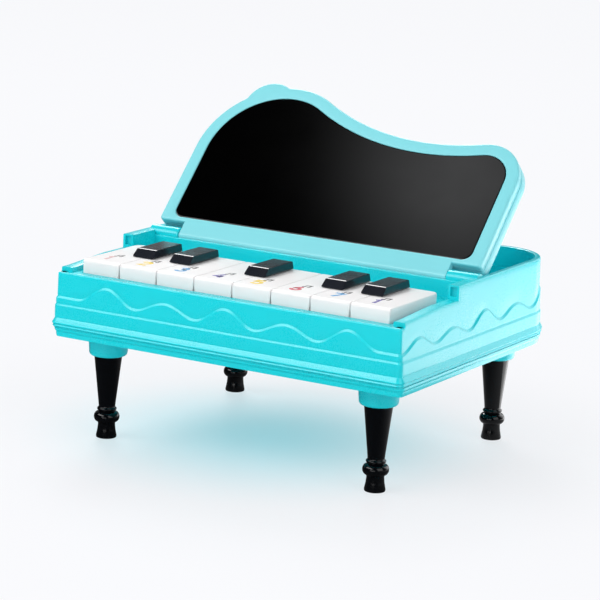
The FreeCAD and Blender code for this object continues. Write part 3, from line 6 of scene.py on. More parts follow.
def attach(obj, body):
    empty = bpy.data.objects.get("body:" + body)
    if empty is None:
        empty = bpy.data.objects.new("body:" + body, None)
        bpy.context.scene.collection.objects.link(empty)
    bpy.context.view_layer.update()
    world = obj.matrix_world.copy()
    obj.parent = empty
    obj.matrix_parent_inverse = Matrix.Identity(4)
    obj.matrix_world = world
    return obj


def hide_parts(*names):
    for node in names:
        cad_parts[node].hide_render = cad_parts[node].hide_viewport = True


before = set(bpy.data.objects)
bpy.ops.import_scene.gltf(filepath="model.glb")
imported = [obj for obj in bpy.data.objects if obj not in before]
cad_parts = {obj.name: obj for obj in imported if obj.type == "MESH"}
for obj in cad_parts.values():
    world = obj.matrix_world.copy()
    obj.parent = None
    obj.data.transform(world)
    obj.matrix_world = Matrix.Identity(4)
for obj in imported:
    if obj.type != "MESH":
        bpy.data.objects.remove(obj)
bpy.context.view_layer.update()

# Bottom cover: one turquoise moulding that closes the case from below and carries the four leg cups.
# It is held by screws from underneath. Its solid is true to shape, so only the plastic is added here.


class Shade:
    """A socket in a material. Sums, differences and products of it add Math nodes."""

    def __init__(self, tree, socket):
        self.tree = tree
        self.socket = socket

    def node(self, kind, settings=None, values=None, output=0):
        """Add a node of any kind: its settings are set first, then the values or links of its sockets."""
        made = self.tree.nodes.new(kind)
        for name, value in (settings or {}).items():
            setattr(made, name, value)
        for name, value in (values or {}).items():
            if isinstance(value, Shade):
                self.tree.links.new(value.socket, made.inputs[name])
            else:
                made.inputs[name].default_value = value
        return Shade(self.tree, made.outputs[output])

    def feed(self, shader, name):
        """Link this socket to a named input of a shader."""
        self.tree.links.new(self.socket, shader.inputs[name])

    def combined(self, operation, first, second):
        """Add a Math node for two terms, each of them a Shade or a number."""
        return self.node("ShaderNodeMath", {"operation": operation}, {0: first, 1: second})

    def __add__(self, other):
        return self.combined("ADD", self, other)

    def __radd__(self, other):
        return self.combined("ADD", other, self)

    def __sub__(self, other):
        return self.combined("SUBTRACT", self, other)

    def __mul__(self, other):
        return self.combined("MULTIPLY", self, other)

    def __rmul__(self, other):
        return self.combined("MULTIPLY", other, self)


def new_material(name):
    """A fresh material, with its Principled shader and its Object coordinates."""
    made = bpy.data.materials.new(name)
    made.use_nodes = True
    tree = made.node_tree
    place = Shade(tree, tree.nodes.new("ShaderNodeTexCoord").outputs["Object"])
    return made, tree.nodes["Principled BSDF"], place


def noise(place, scale, detail):
    """Fractal noise at a place, from 0 to 1."""
    return place.node("ShaderNodeTexNoise", None, {"Vector": place, "Scale": scale, "Detail": detail})


def mixed(share, first, second):
    """Colour that goes from the first to the second with a share from 0 to 1."""
    return share.node("ShaderNodeMix", {"data_type": "RGBA"}, {0: share, 6: (*first, 1), 7: (*second, 1)}, 2)


CLOUD_SCALE, TOOLING_SCALE, TOOLING_DEPTH = 38.0, 2600.0, 0.00006
CLOUD_GLOSS, TOOLING_GLOSS = 0.08, 0.06


def moulded_plastic(name, colour, roughness, grain, cloudiness=0.05, shine=0.5):
    """Injection-moulded plastic: faint flow clouds in the colour, patchy gloss and a fine tooled grain.

    Roughness is its mean, plus the clouds and the tooling noise, each about its middle times its share.
    """
    made, shader, place = new_material(name)
    clouds = noise(place, CLOUD_SCALE, 4.0)
    tooling = noise(place, TOOLING_SCALE, 3.0)
    deep = [part * (1 - cloudiness) for part in colour]
    gloss = roughness - CLOUD_GLOSS / 2 + CLOUD_GLOSS * clouds + TOOLING_GLOSS * (tooling - 0.5)
    bump = place.node("ShaderNodeBump", None, {"Height": tooling, "Strength": grain, "Distance": TOOLING_DEPTH})
    shader.inputs["Specular IOR Level"].default_value = shine
    mixed(clouds, deep, colour).feed(shader, "Base Color")
    gloss.feed(shader, "Roughness")
    bump.feed(shader, "Normal")
    return made


WELD_REACH, CREASE = 0.000002, np.radians(28)


def dress(node, material):
    """Give a solid that shows as it is a material, with its round faces shaded smooth."""
    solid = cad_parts[node]
    solid.data.materials.clear()
    solid.data.materials.append(material)
    solid.data.polygons.foreach_set("use_smooth", np.ones(len(solid.data.polygons), bool))
    weld = solid.modifiers.new("weld", "WELD")
    weld.merge_threshold = WELD_REACH
    split = solid.modifiers.new("split", "EDGE_SPLIT")
    split.split_angle = CREASE


turquoise = moulded_plastic("turquoise_plastic", (0.002, 0.672, 0.748), 0.28, 0.04, 0.03, 0.55)
dress("bottom_cover", turquoise)

# Battery door and steel parts: the door is a flush turquoise plate, let into a rebate of the bottom cover.
# The screws, the battery contacts and the key pivot rod are plated steel.

GRAIN_SCALE, GRAIN_SHADE, GRAIN_GLOSS = 1800.0, 0.9, 0.15


def plain_metal(name, colour, roughness):
    """Bright metal with a fine drawn grain in its colour and gloss."""
    made, shader, place = new_material(name)
    grain = noise(place, GRAIN_SCALE, 4.0)
    deep = [part * GRAIN_SHADE for part in colour]
    gloss = roughness + GRAIN_GLOSS * (grain - 0.5)
    shader.inputs["Metallic"].default_value = 1.0
    mixed(grain, deep, colour).feed(shader, "Base Color")
    gloss.feed(shader, "Roughness")
    return made


plated = plain_metal("plated_steel", (0.62, 0.62, 0.64), 0.32)
dress("battery_door", turquoise)
for node in ("case_screws", "frame_screws", "door_screw", "battery_contacts", "key_pivot_rod"):
    dress(node, plated)

# Legs: turned-looking black plastic legs, each with a tapered shaft, a bead, a round ring and a flared
# foot. A plug on top is pressed into the cup of the bottom cover.

MILLIMETRE = 0.001


def skin(name, rings, material, body, nodes=(), joined=False, sharp=40):
    """Closed surface through rings of points in millimetres.

    Quads join each ring to the next. The last ring joins the first one if joined, otherwise a flat face
    closes each end. The faces are turned over if the volume they enclose comes out negative. Edges that
    bend by more than the sharp angle, in degrees, stay edges in the shading.
    """
    rings = np.asarray(rings, float)
    count, around = rings.shape[:2]
    points = rings.reshape(-1, 3) * MILLIMETRE
    row = np.arange(count if joined else count - 1)[:, None]
    column = np.arange(around)[None, :]
    following = (row + 1) % count
    beside = (column + 1) % around
    quads = np.stack([row * around + column, row * around + beside,
                      following * around + beside, following * around + column], -1).reshape(-1, 4)
    faces = quads.tolist()
    a, b, c, d = (points[quads[:, corner]] for corner in range(4))
    volume = (np.cross(a, b) * c).sum() + (np.cross(a, c) * d).sum()
    if not joined:
        faces.append(np.arange(around)[::-1].tolist())
        faces.append(((count - 1) * around + np.arange(around)).tolist())
        for face in faces[-2:]:
            p = points[face]
            volume += (np.cross(p[1:-1], p[2:]) * p[0]).sum()
    if volume < 0:
        faces = [face[::-1] for face in faces]
    mesh = bpy.data.meshes.new(name)
    mesh.from_pydata(points.tolist(), [], faces)
    mesh.polygons.foreach_set("use_smooth", np.ones(len(mesh.polygons), bool))
    mesh.set_sharp_from_angle(angle=np.radians(sharp))
    mesh.materials.append(material)
    piece = bpy.data.objects.new(name, mesh)
    bpy.context.scene.collection.objects.link(piece)
    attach(piece, body)
    if nodes:
        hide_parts(*nodes)


def turned(profile, centre, axis="z", around=56):
    """Rings of a turned form: each (radius, height) of the profile swept round an axis through a centre."""
    radius, height = np.asarray(profile, float).T
    turn = np.linspace(0, 2 * np.pi, around, endpoint=False)
    across = radius[:, None] * np.cos(turn)
    along = radius[:, None] * np.sin(turn)
    up = np.broadcast_to(height[:, None], across.shape)
    order = (across, along, up) if axis == "z" else (up, across, along)
    return np.stack(order, -1) + np.asarray(centre, float)


def bend(centre, radius, start, end, count):
    """Points of an arc about a centre, from a start angle to an end angle in degrees."""
    turn = np.radians(np.linspace(start, end, count))
    return np.stack([centre[0] + radius * np.cos(turn), centre[1] + radius * np.sin(turn)], -1)


RING_LEVEL, RING_STRETCH = 8.4, 1.2
foot = np.concatenate([[(0.6, 0.02), (3.6, 0.02)], bend((3.6, 0.45), 0.43, -80, 0, 4),
                       [(4.05, 0.8), (3.55, 3.4), (3.38, 5.2), (3.42, 6.2)]])
ring = bend((3.3, RING_LEVEL), 1.75, -80, 80, 17) * (1, RING_STRETCH) - (0, RING_LEVEL * (RING_STRETCH - 1))
bead = np.concatenate([[(3.3, 10.75)], bend((3.25, 11.6), 0.6, -75, 75, 9), [(3.24, 12.5), (3.3, 13.2)]])
shaft = np.stack([np.linspace(3.42, 5.38, 14), np.linspace(14.5, 32.2, 14)], -1)
plug = [(5.45, 32.9), (5.4, 33.15), (4.3, 33.18), (4.3, 41.6), (0.6, 41.6)]
leg_profile = np.concatenate([foot, ring, bead, shaft, plug])
black_plastic = moulded_plastic("black_leg_plastic", (0.0015, 0.002, 0.003), 0.13, 0.03, 0.2, 0.32)
LEG_SIDE, LEG_FRONT, LEG_REAR = 60.5, -58.5, 37.3
leg_places = {"leg_front_left": (-LEG_SIDE, LEG_FRONT), "leg_front_right": (LEG_SIDE, LEG_FRONT),
              "leg_rear_left": (-LEG_SIDE, LEG_REAR), "leg_rear_right": (LEG_SIDE, LEG_REAR)}
for node, place in leg_places.items():
    skin(node + "_turning", turned(leg_profile, (*place, 0)), black_plastic, "case", [node])

# Works inside the case: key frame, circuit board, rubber contacts, speaker, cells and switch.
# They hardly show, through the grille and round the keys, so their solids stay and get plain finishes.

inside = {
    "key_frame": moulded_plastic("frame_plastic", (0.40, 0.41, 0.42), 0.5, 0.15),
    "circuit_board": moulded_plastic("board_laminate", (0.03, 0.16, 0.06), 0.45, 0.05, 0.25),
    "contact_strip": moulded_plastic("contact_rubber", (0.28, 0.28, 0.29), 0.65, 0.2),
    "speaker_frame": plain_metal("speaker_steel", (0.20, 0.20, 0.21), 0.45),
    "speaker_cone": moulded_plastic("speaker_paper", (0.025, 0.025, 0.027), 0.85, 0.5, 0.3),
    "speaker_magnet": plain_metal("magnet_ferrite", (0.12, 0.12, 0.13), 0.6),
    "battery_cells": plain_metal("cell_cans", (0.42, 0.42, 0.45), 0.35),
    "power_switch_body": moulded_plastic("switch_plastic", (0.02, 0.02, 0.022), 0.45, 0.1, 0.2),
}
for node, material in inside.items():
    dress(node, material)
dress("power_switch_knob", inside["power_switch_body"])

# Upper case, wall: one turquoise moulding on the piano outline. It has a bead low down, a raised tier whose
# upper edge is a wave, low cheeks beside the keys, arms that rise to the hinge rail, and a round notch in
# the rear for the lid's finger tab.

HALF, FRONT, FRONT_CORNER = 75.7, -72.1, 0.7
TAIL_CORNER, TAIL_ROUND = np.array([56.3, 37.3]), 19.4
HUMP, HUMP_ROUND = np.array([-38.8, 34.6]), 36.9
WAIST_ROUND = 100.7
HINGE = np.array([-7.888, 73.1])
RAIL_FRONT, RAIL_REAR = -12.088, -3.288
CHEEK_FRONT, ARM_FRONT = -69.5, -27.688
DECK, CASE_TOP, STEP = 66.4, 75.0, 54.0
TAB, TAB_ROUND = np.array([-49.3, 59.23]), 11.0
SIDE_POINTS, FRONT_POINTS, MARK_GAP = 130, 160, 0.01


def waist_centre():
    """Centre of the hollow waist: the point at the right distance from the tail corner and the hump."""
    to_hump, to_corner = HUMP_ROUND + WAIST_ROUND, TAIL_ROUND + WAIST_ROUND
    between = TAIL_CORNER - HUMP
    length = np.hypot(*between)
    along = (to_hump ** 2 - to_corner ** 2 + length ** 2) / (2 * length)
    up = np.sqrt(to_hump ** 2 - along ** 2)
    direction = between / length
    return HUMP + direction * along + np.array([-direction[1], direction[0]]) * up


def piano_outline(front, corner, marks=()):
    """Points and outward normals round the case: straight front and sides, round corners, waist and hump.

    Straights are points between two ends, arcs are a centre plus a radius times the direction. The sides
    also get a pair of points close before and after each mark, where the wall changes height.
    """
    waist = waist_centre()
    corner_turn = np.degrees(np.arctan2(*(waist - TAIL_CORNER)[::-1]))
    hump_turn = np.degrees(np.arctan2(*(waist - HUMP)[::-1]))
    pairs = [place for mark in marks for place in (mark - MARK_GAP, mark + MARK_GAP)]
    right = np.sort(np.concatenate([np.linspace(front + corner, TAIL_CORNER[1], SIDE_POINTS)[:-1], pairs]))
    left = np.sort(np.concatenate([np.linspace(front + corner, HUMP[1], SIDE_POINTS)[1:], pairs]))[::-1]
    across = np.linspace(corner - HALF, HALF - corner, FRONT_POINTS)[:-1]
    arcs = [((HALF - corner, front + corner), corner, -90, 0, 14, 1),
            (TAIL_CORNER, TAIL_ROUND, 0, corner_turn, 44, 1),
            (waist, WAIST_ROUND, corner_turn + 180, hump_turn + 180, 70, -1),
            (HUMP, HUMP_ROUND, hump_turn, 180, 220, 1),
            ((corner - HALF, front + corner), corner, 180, 270, 14, 1)]
    runs = []
    for centre, radius, start, end, count, side in arcs:
        points = bend(centre, radius, start, end, count)[:-1]
        runs.append((points, side * (points - centre) / radius))
    lines = [(np.stack([across, np.full(across.shape, front)], -1), (0, -1)),
             (np.stack([np.full(right.shape, HALF), right], -1), (1, 0)),
             (np.stack([np.full(left.shape, -HALF), left], -1), (-1, 0))]
    lines = [(points, np.broadcast_to(normal, points.shape)) for points, normal in lines]
    order = [lines[0], runs[0], lines[1], runs[1], runs[2], runs[3], lines[2], runs[4]]
    return np.concatenate([run[0] for run in order]), np.concatenate([run[1] for run in order])


WAVE_TROUGH, CREST_MIDDLE, CREST_CHANGE = 3.0, 8.1, 1.0
FRONT_BAND, FRONT_CREST, FRONT_PERIOD, FRONT_TURNS = 0.9, 0.8, 26.7, 2.5
TAIL_START, TAIL_PERIOD, TAIL_TURNS = 47.7, 24.43, 3
SIDE_CREST, SIDE_PERIOD = -5.55, 26.62
SIDE_PLACES, SIDE_MIDDLES = (-59, -32, -5.5, 21, 45), (6.3, 7.4, 7.8, 7.7, 8.1)


def wave_lift(points):
    """Height of the tier's edge above the step: a cosine from a trough up to high and low crests in turn.

    Along the front and the tail the wave runs with x, along the sides with y. Troughs meet at the front
    corners, and high crests meet where the sides have turned round to the tail.
    """
    x, y = points.T
    on_front, on_tail = y < FRONT + FRONT_BAND, y > TAIL_START
    front_turns = np.clip((x - FRONT_CREST) / FRONT_PERIOD, -FRONT_TURNS, FRONT_TURNS)
    tail_turns = np.clip(x / TAIL_PERIOD, -TAIL_TURNS, TAIL_TURNS)
    side_turns = (y - SIDE_CREST) / SIDE_PERIOD
    turn = 2 * np.pi * np.select([on_front, on_tail], [front_turns, tail_turns], side_turns)
    middle = np.where(on_front | on_tail, CREST_MIDDLE, np.interp(y, SIDE_PLACES, SIDE_MIDDLES))
    crest = middle + CREST_CHANGE * np.where(on_tail, -1, 1) * np.cos(turn / 2)
    return WAVE_TROUGH + (crest - WAVE_TROUGH) * (1 + np.cos(turn)) / 2


WALL_LEAN = 0.35


def wall_offset(level):
    """How far the wall stands out at a level: it leans in evenly from the step to the top."""
    return WALL_LEAN * (CASE_TOP - level) / (CASE_TOP - STEP)


def wall_rings(section, points, normals):
    """Rings of a wall: each (offset, level) of the section carried round an outline along its normals."""
    rings = []
    for offset, level in section:
        offset = np.broadcast_to(offset, len(points))
        level = np.broadcast_to(level, len(points))
        rings.append(np.column_stack([points + offset[:, None] * normals, level]))
    return np.stack(rings)


ARM_FACE = ARM_FRONT + 1.2
points, normals = piano_outline(FRONT, FRONT_CORNER, (CHEEK_FRONT, ARM_FACE, RAIL_FRONT))
zones = [points[:, 1] < CHEEK_FRONT, points[:, 1] < ARM_FACE, points[:, 1] < RAIL_FRONT]
at_front, by_keys = zones[0], zones[2]
CHEEK_PLACES, CHEEK_TOPS = (-66.1, -42.1), (68.2, 69.5)
cheek_top = np.interp(points[:, 1], CHEEK_PLACES, CHEEK_TOPS)
top = np.select(zones, [DECK, cheek_top, CASE_TOP], CASE_TOP)
NOTCH_FLOOR, NOTCH_GAP = 72.1, 0.5


def notched_top(depth):
    """Wall tops, lowered where a point at a depth in the wall lies in the round notch for the lid's tab."""
    in_notch = np.hypot(*(points - depth * normals - TAB).T) < TAB_ROUND + NOTCH_GAP
    return np.where(in_notch, NOTCH_FLOOR, top)


WALL, CHEEK, FRONT_LIP, LEDGE_REACH = 2.4, 4.8, 2.8, 4.0
RIM_ROUND, RIM_SPACE = 0.7, 1.5
LEDGE, KEY_LEDGE, WALL_END = 66.9, 65.0, 57.0
outer_top, inner_top = notched_top(WALL / 2), notched_top(WALL)
inner = np.select(zones, [-FRONT_LIP, -CHEEK, -CHEEK], -WALL)
deep = np.where(by_keys, inner, -LEDGE_REACH)
ledge = np.where(by_keys, KEY_LEDGE, LEDGE)
soft = np.where(at_front, 0.0, 1.0)
edge = STEP + wave_lift(points)
wall_section = [
    (-WALL, 44.55), (1.2, 44.55), (1.45, 44.6), (1.52, 44.7), (1.47, 44.85), (1.42, 44.95), (1.45, 45.05),
    (1.8, 45.1), (1.95, 45.17), (2.0, 45.28), (1.96, 45.38), (1.74, 45.78), (1.7, 45.86), (1.7, 46.0),
    (1.85, 46.08), (2.05, 46.15), (2.17, 46.3), (2.2, 46.46), (2.17, 46.6), (2.1, 46.74), (1.28, 48.22),
    (1.22, 48.32), (1.14, 48.4), (1.1, 48.5), (1.12, 48.66), (1.18, 48.8), (1.2, 49.0), (1.2, 53.05)]
step_bevel = [(1.2, -0.8), (1.19, -0.72), (1.15, -0.64), (0.82, -0.06), (0.78, 0.02), (0.76, 0.1),
              (0.76, 0.22), (0.80, 0.4), (0.83, 0.55), (0.837, 0.8)]
wave_bevel = [(0.5, -1.05), (0.5, -0.92), (0.485, -0.86), (0.44, -0.78), (0.06, -0.12), (0.02, -0.05),
              (-0.02, 0.02), (-0.04, 0.12), (-0.03, 0.25), (0.0, 0.4)]
wall_section += [(proud, STEP + lift) for proud, lift in step_bevel]
wall_section += [(wall_offset(edge + lift) + proud, edge + lift) for proud, lift in wave_bevel]
for share in (0.4, 0.9):
    level = edge + wave_bevel[-1][1] + share * (outer_top - RIM_SPACE - edge)
    wall_section.append((wall_offset(level), level))
rim_offset, rim_level = wall_offset(outer_top - RIM_ROUND) - RIM_ROUND, outer_top - RIM_ROUND
for turn in np.radians((0, 18, 36, 54, 72, 90)):
    wall_section.append((rim_offset + RIM_ROUND * np.cos(turn), rim_level + RIM_ROUND * np.sin(turn)))
wall_section += [(inner + 0.5, inner_top), (inner + 0.16, inner_top - 0.12 * soft),
                 (inner + 0.02, inner_top - 0.4 * soft), (inner, ledge), (deep, ledge - 0.05), (deep, WALL_END)]
skin("case_wall", wall_rings(wall_section, points, normals), turquoise, "case",
     ["upper_case"], joined=True)

# Upper case, key deck: the flat rim round the opening for the keys, of one piece with the wall.
# The opening has a small bevel and round rear corners.

CORNER_POINTS = 6


def rounded_loop(corners, radii):
    """Closed loop through corners, each rounded by a parabola that leaves its sides a radius away."""
    corners = np.asarray(corners, float)
    radii = np.broadcast_to(radii, len(corners))[:, None]
    before = np.roll(corners, 1, 0) - corners
    after = np.roll(corners, -1, 0) - corners
    start = corners + radii * before / np.linalg.norm(before, axis=1, keepdims=True)
    end = corners + radii * after / np.linalg.norm(after, axis=1, keepdims=True)
    share = np.linspace(0, 1, CORNER_POINTS)[:, None, None]
    loop = (1 - share) ** 2 * start + 2 * share * (1 - share) * corners + share ** 2 * end
    return loop.transpose(1, 0, 2).reshape(-1, 2)


def at_level(loop, level):
    """A loop in plan, set at a level."""
    return np.column_stack([loop, np.full(len(loop), level)])


def oblong(half, front, rear, radii):
    """Closed loop of an oblong in plan, the same to both sides of the middle, with rounded corners."""
    return rounded_loop([(-half, front), (half, front), (half, rear), (-half, rear)], radii)


DECK_HALF, DECK_UNDER, OVERLAP = 72.5, DECK - 2.2, 0.6
OPENING_HALF, OPENING_FRONT, BEVEL = 68.5, -67.3, 0.25
deck_edge = oblong(DECK_HALF, FRONT + FRONT_LIP, RAIL_FRONT + OVERLAP, 0.05)
opening = oblong(OPENING_HALF, OPENING_FRONT, ARM_FRONT, (0.6, 0.6, 3.0, 3.0))
opening_edge = oblong(OPENING_HALF + BEVEL, OPENING_FRONT - BEVEL, ARM_FRONT + BEVEL, (0.8, 0.8, 3.2, 3.2))
skin("key_deck", [at_level(deck_edge, DECK), at_level(opening_edge, DECK), at_level(opening, DECK - BEVEL),
                  at_level(opening, DECK_UNDER), at_level(deck_edge, DECK_UNDER)],
     turquoise, "case", ["upper_case"], joined=True)

# Upper case, hinge rail: a bar across the case behind the keys, with a round trough in which the lid's
# barrel lies, and a knuckle at each end of the trough that holds it.


def along_x(profile, start, end):
    """Two rings of a profile in the YZ plane, set at two places along X."""
    profile = np.asarray(profile, float)
    return [np.column_stack([np.full(len(profile), across), profile]) for across in (start, end)]


RAIL_HALF, RAIL_UNDER, RAIL_ROUND, HINGE_ROUND = 74.2, 57.5, 0.45, 2.9
rail_profile = np.concatenate([
    [(RAIL_FRONT, 65.0)], bend((RAIL_FRONT + RAIL_ROUND, 72.55), RAIL_ROUND, 180, 90, 6),
    bend(HINGE, HINGE_ROUND, 182, 350, 25),
    [(RAIL_REAR - 0.3, 72.6), (RAIL_REAR, 72.3), (RAIL_REAR, RAIL_UNDER), (RAIL_FRONT + 1, RAIL_UNDER)]])
skin("hinge_rail", along_x(rail_profile, -RAIL_HALF, RAIL_HALF), turquoise, "case",
     ["upper_case"])
knuckle = np.concatenate([[(1.5, 60.9)], bend((2.7, 61.4), 0.5, -90, 0, 6),
                          [(3.2, RAIL_HALF), (1.5, RAIL_HALF)]])
hands = {"left": -1, "right": 1}
for hand, side in hands.items():
    skin("hinge_knuckle_%s" % hand, turned(knuckle * (1, side), (0, *HINGE), "x", 40), turquoise, "case",
         ["upper_case"])

# Upper case, tray and arm ends: the floor of the open tray behind the hinge rail reaches into the wall.
# The front of each arm is a wall with a narrow slot in it.

TRAY_HALF, TRAY_TOP, TRAY_UNDER = 72.7, 58.0, 56.5
TRAY_INSET, TRAY_POINTS, TAIL_BAND = 3.5, 120, 30
tray_edge = (points - TRAY_INSET * normals)[points[:, 1] > TAIL_BAND]
tray_edge = tray_edge[np.argsort(tray_edge[:, 0])]
tray_x = np.linspace(-TRAY_HALF, TRAY_HALF, TRAY_POINTS)
tray_rear = np.interp(tray_x, *tray_edge.T)
tray_front = np.full(tray_x.shape, RAIL_REAR - OVERLAP)
tray_rings = np.stack([np.stack([tray_x, back, np.full(tray_x.shape, level)], -1) for back, level in (
    (tray_front, TRAY_TOP), (tray_rear, TRAY_TOP), (tray_rear, TRAY_UNDER), (tray_front, TRAY_UNDER))], 1)
skin("tray_floor", tray_rings, turquoise, "case", ["upper_case"])

ARM_HALF, ARM_LOW, ARM_DEPTH = CHEEK / 2, 66.8, 1.3
SLOT_HALF, SLOT_LOW, SLOT_HIGH = 1.4, 70.75, 74.3
outer = oblong(ARM_HALF, ARM_LOW, CASE_TOP, (0.05, 0.05, RIM_ROUND, RIM_ROUND))
slot_edge = oblong(SLOT_HALF, SLOT_LOW, SLOT_HIGH, 0.4)
for hand, side in hands.items():
    middle = side * (HALF - ARM_HALF)
    end_rings = [np.column_stack([loop[:, 0] + middle, np.full(len(loop), ARM_FRONT + depth), loop[:, 1]])
                 for loop, depth in ((outer, ARM_DEPTH), (outer, 0), (slot_edge, 0), (slot_edge, ARM_DEPTH))]
    skin("arm_end_%s" % hand, end_rings, turquoise, "case", ["upper_case"], joined=True)

# White keys: eight white moulded caps, side by side with thin gaps, on levers that turn on one rod. The top
# edges are rounded, most at the front, and the two outer keys have a round rear corner. The levers are out
# of sight, so each key shows as a short closed cap.

key_white = moulded_plastic("white_key_plastic", (0.885, 0.867, 0.864), 0.32, 0.02, 0.02, 0.4)
PITCH, KEY_FRONT, KEY_REAR, KEY_TOP = 17.0, -66.8, -28.188, 71.7
STEM_FRONT, STEM_REAR, STEM_GAP, NOTCH_DEPTH = -46.653, -34.638, 0.5, 2.3
SMALL_CORNER, REAR_CORNER, OUTER_CORNER = 0.5, 0.9, 3.6
NOTCHED = (1, 2, 4, 6, 7)


def key_middle(number):
    """Place of a white key along X, with the keyboard's middle between the fourth and the fifth."""
    return (number - 4.5) * PITCH


def key_loop(number, side, front, rear):
    """Plan of a key, drawn in by an amount at its sides, front and rear.

    A key beside a black key has a notch for the black key's stem.
    """
    half = PITCH / 2 - side
    notch = half - NOTCH_DEPTH
    low, high = STEM_FRONT - STEM_GAP - side, STEM_REAR + STEM_GAP + side
    corners = [(-half, KEY_FRONT + front), (half, KEY_FRONT + front)]
    if number in NOTCHED:
        corners += [(half, low), (notch, low), (notch, high), (half, high)]
    corners += [(half, KEY_REAR - rear), (-half, KEY_REAR - rear)]
    radii = [SMALL_CORNER] * len(corners)
    radii[-2] = OUTER_CORNER if number == 8 else REAR_CORNER
    radii[-1] = OUTER_CORNER if number == 1 else REAR_CORNER
    if number - 1 in NOTCHED:
        corners += [(-half, high), (-notch, high), (-notch, low), (-half, low)]
        radii += [SMALL_CORNER] * 4
    return rounded_loop(corners, radii) + (key_middle(number), 0)


KEY_ROUND, KEY_GAP = 1.1, 0.14
SIDE_DRAW, FRONT_DRAW, REAR_DRAW = 0.16, 1.25, 0.7
draws = [(0.5, 0.3, 0.3, 63.4), (0.3, 0.0, 0.0, 63.7), (0.3, 0.0, 0.0, 67.4), (KEY_GAP, 0.0, 0.0, 69.6)]
for turn in np.radians(np.linspace(0, 90, 8)):
    over = 1 - np.cos(turn)
    level = KEY_TOP - KEY_ROUND + KEY_ROUND * np.sin(turn)
    draws.append((KEY_GAP + SIDE_DRAW * over, FRONT_DRAW * over, REAR_DRAW * over, level))
draws.append((0.45, 1.45, 0.9, KEY_TOP))
for number in range(1, 9):
    rings = [at_level(key_loop(number, side, front, rear), level) for side, front, rear, level in draws]
    skin("white_key_cap_%d" % number, rings, key_white, "key_%d" % number,
         ["white_key_%d" % number])

# Printed signs on the white keys: a plain numeral in its own colour with a small black note behind it.
# They are printed on the caps, so each is a very thin layer of ink that moves with its key.

INK_BED, INK_TOP, LEAST_SHARE = KEY_TOP - 0.1, KEY_TOP + 0.03, 0.4


def stroke(path, width):
    """Rings of a flat stroke of ink: a thin oblong carried along a path, square to the way it goes.

    At a bend it lies across the half-way direction, its width divided by the cosine of half the turn.
    The square of that cosine is kept from falling below a least share, so that sharp bends stay narrow.
    """
    path = np.asarray(path, float)
    steps = np.diff(path, axis=0)
    steps = steps / np.linalg.norm(steps, axis=1, keepdims=True)
    ways = np.concatenate([steps[:1], (steps[:-1] + steps[1:]) / 2, steps[-1:]])
    share = np.maximum((ways ** 2).sum(1), LEAST_SHARE)
    reach = (np.broadcast_to(width, len(path)) / 2 / share)[:, None] * np.stack([-ways[:, 1], ways[:, 0]], -1)
    left, right = path + reach, path - reach
    return np.stack([at_level(left, INK_BED), at_level(right, INK_BED),
                     at_level(right, INK_TOP), at_level(left, INK_TOP)], 1)


plain_one = [(-1.2, 1.8), (0.3, 3.0), (0.3, -3.0)]
numerals = {
    1: [plain_one],
    2: [np.concatenate([bend((0, 1.2), 1.7, 170, -35, 16), [(-1.8, -2.9), (1.9, -2.9)]])],
    3: [np.concatenate([bend((0, 1.45), 1.45, 160, -80, 14), bend((0, -1.35), 1.65, 80, -160, 16)])],
    4: [[(1.7, -1.2), (-1.9, -1.2), (0.6, 3.0)], [(0.8, 0.6), (0.8, -3.0)]],
    5: [np.concatenate([[(1.6, 2.9), (-1.3, 2.9), (-1.5, 0.4)], bend((0, -1.1), 1.8, 125, -150, 18)])],
    6: [np.concatenate([[(1.1, 3.0), (-0.9, 1.0)], bend((0, -1.2), 1.65, 155, -185, 22)])],
    7: [[(-1.8, 2.9), (1.8, 2.9), (-0.4, -3.0)]],
    8: [plain_one, [(0.3, 4.1), (0.3, 4.9)]],
}
ink_colours = {"rose": (0.62, 0.36, 0.36), "yellow": (0.84, 0.60, 0.015), "blue": (0.03, 0.30, 0.62),
               "purple": (0.07, 0.05, 0.33), "red": (0.58, 0.012, 0.05), "black": (0.01, 0.01, 0.012)}
inks = {name: moulded_plastic(name + "_ink", colour, 0.5, 0.05, 0.1, 0.3)
        for name, colour in ink_colours.items()}
tints = ("rose", "yellow", "blue", "purple", "yellow", "red", "blue", "purple")
note = np.array([(-1.5, -1.3), (-1.0, -1.3), (-0.7, -1.3), (-0.7, 1.2), (1.2, 1.6), (1.2, -0.9), (0.9, -0.9),
                 (0.4, -0.9)])
NOTE_WIDTHS, NUMERAL_WIDTH = (0.9, 1.3, 0.7, 0.6, 0.8, 0.7, 1.3, 0.9), 1.55
NUMERAL_SHIFT, NUMERAL_BACK, NOTE_SHIFT = -2.1, -58.2, (1.3, 5.4)
for number, tint in enumerate(tints, start=1):
    place = np.array([key_middle(number) + NUMERAL_SHIFT, NUMERAL_BACK])
    for order, path in enumerate(numerals[number], start=1):
        skin("numeral_%d_stroke_%d" % (number, order), stroke(np.asarray(path) + place, NUMERAL_WIDTH),
             inks[tint], "key_%d" % number)
    skin("note_sign_%d" % number, stroke(note + place + NOTE_SHIFT, NOTE_WIDTHS), inks["black"],
         "key_%d" % number)

# Black keys: five fixed blocks with a sloped front, each on a stem that goes down between two white keys
# into the key frame. Dark gloss plastic with crisp edges.

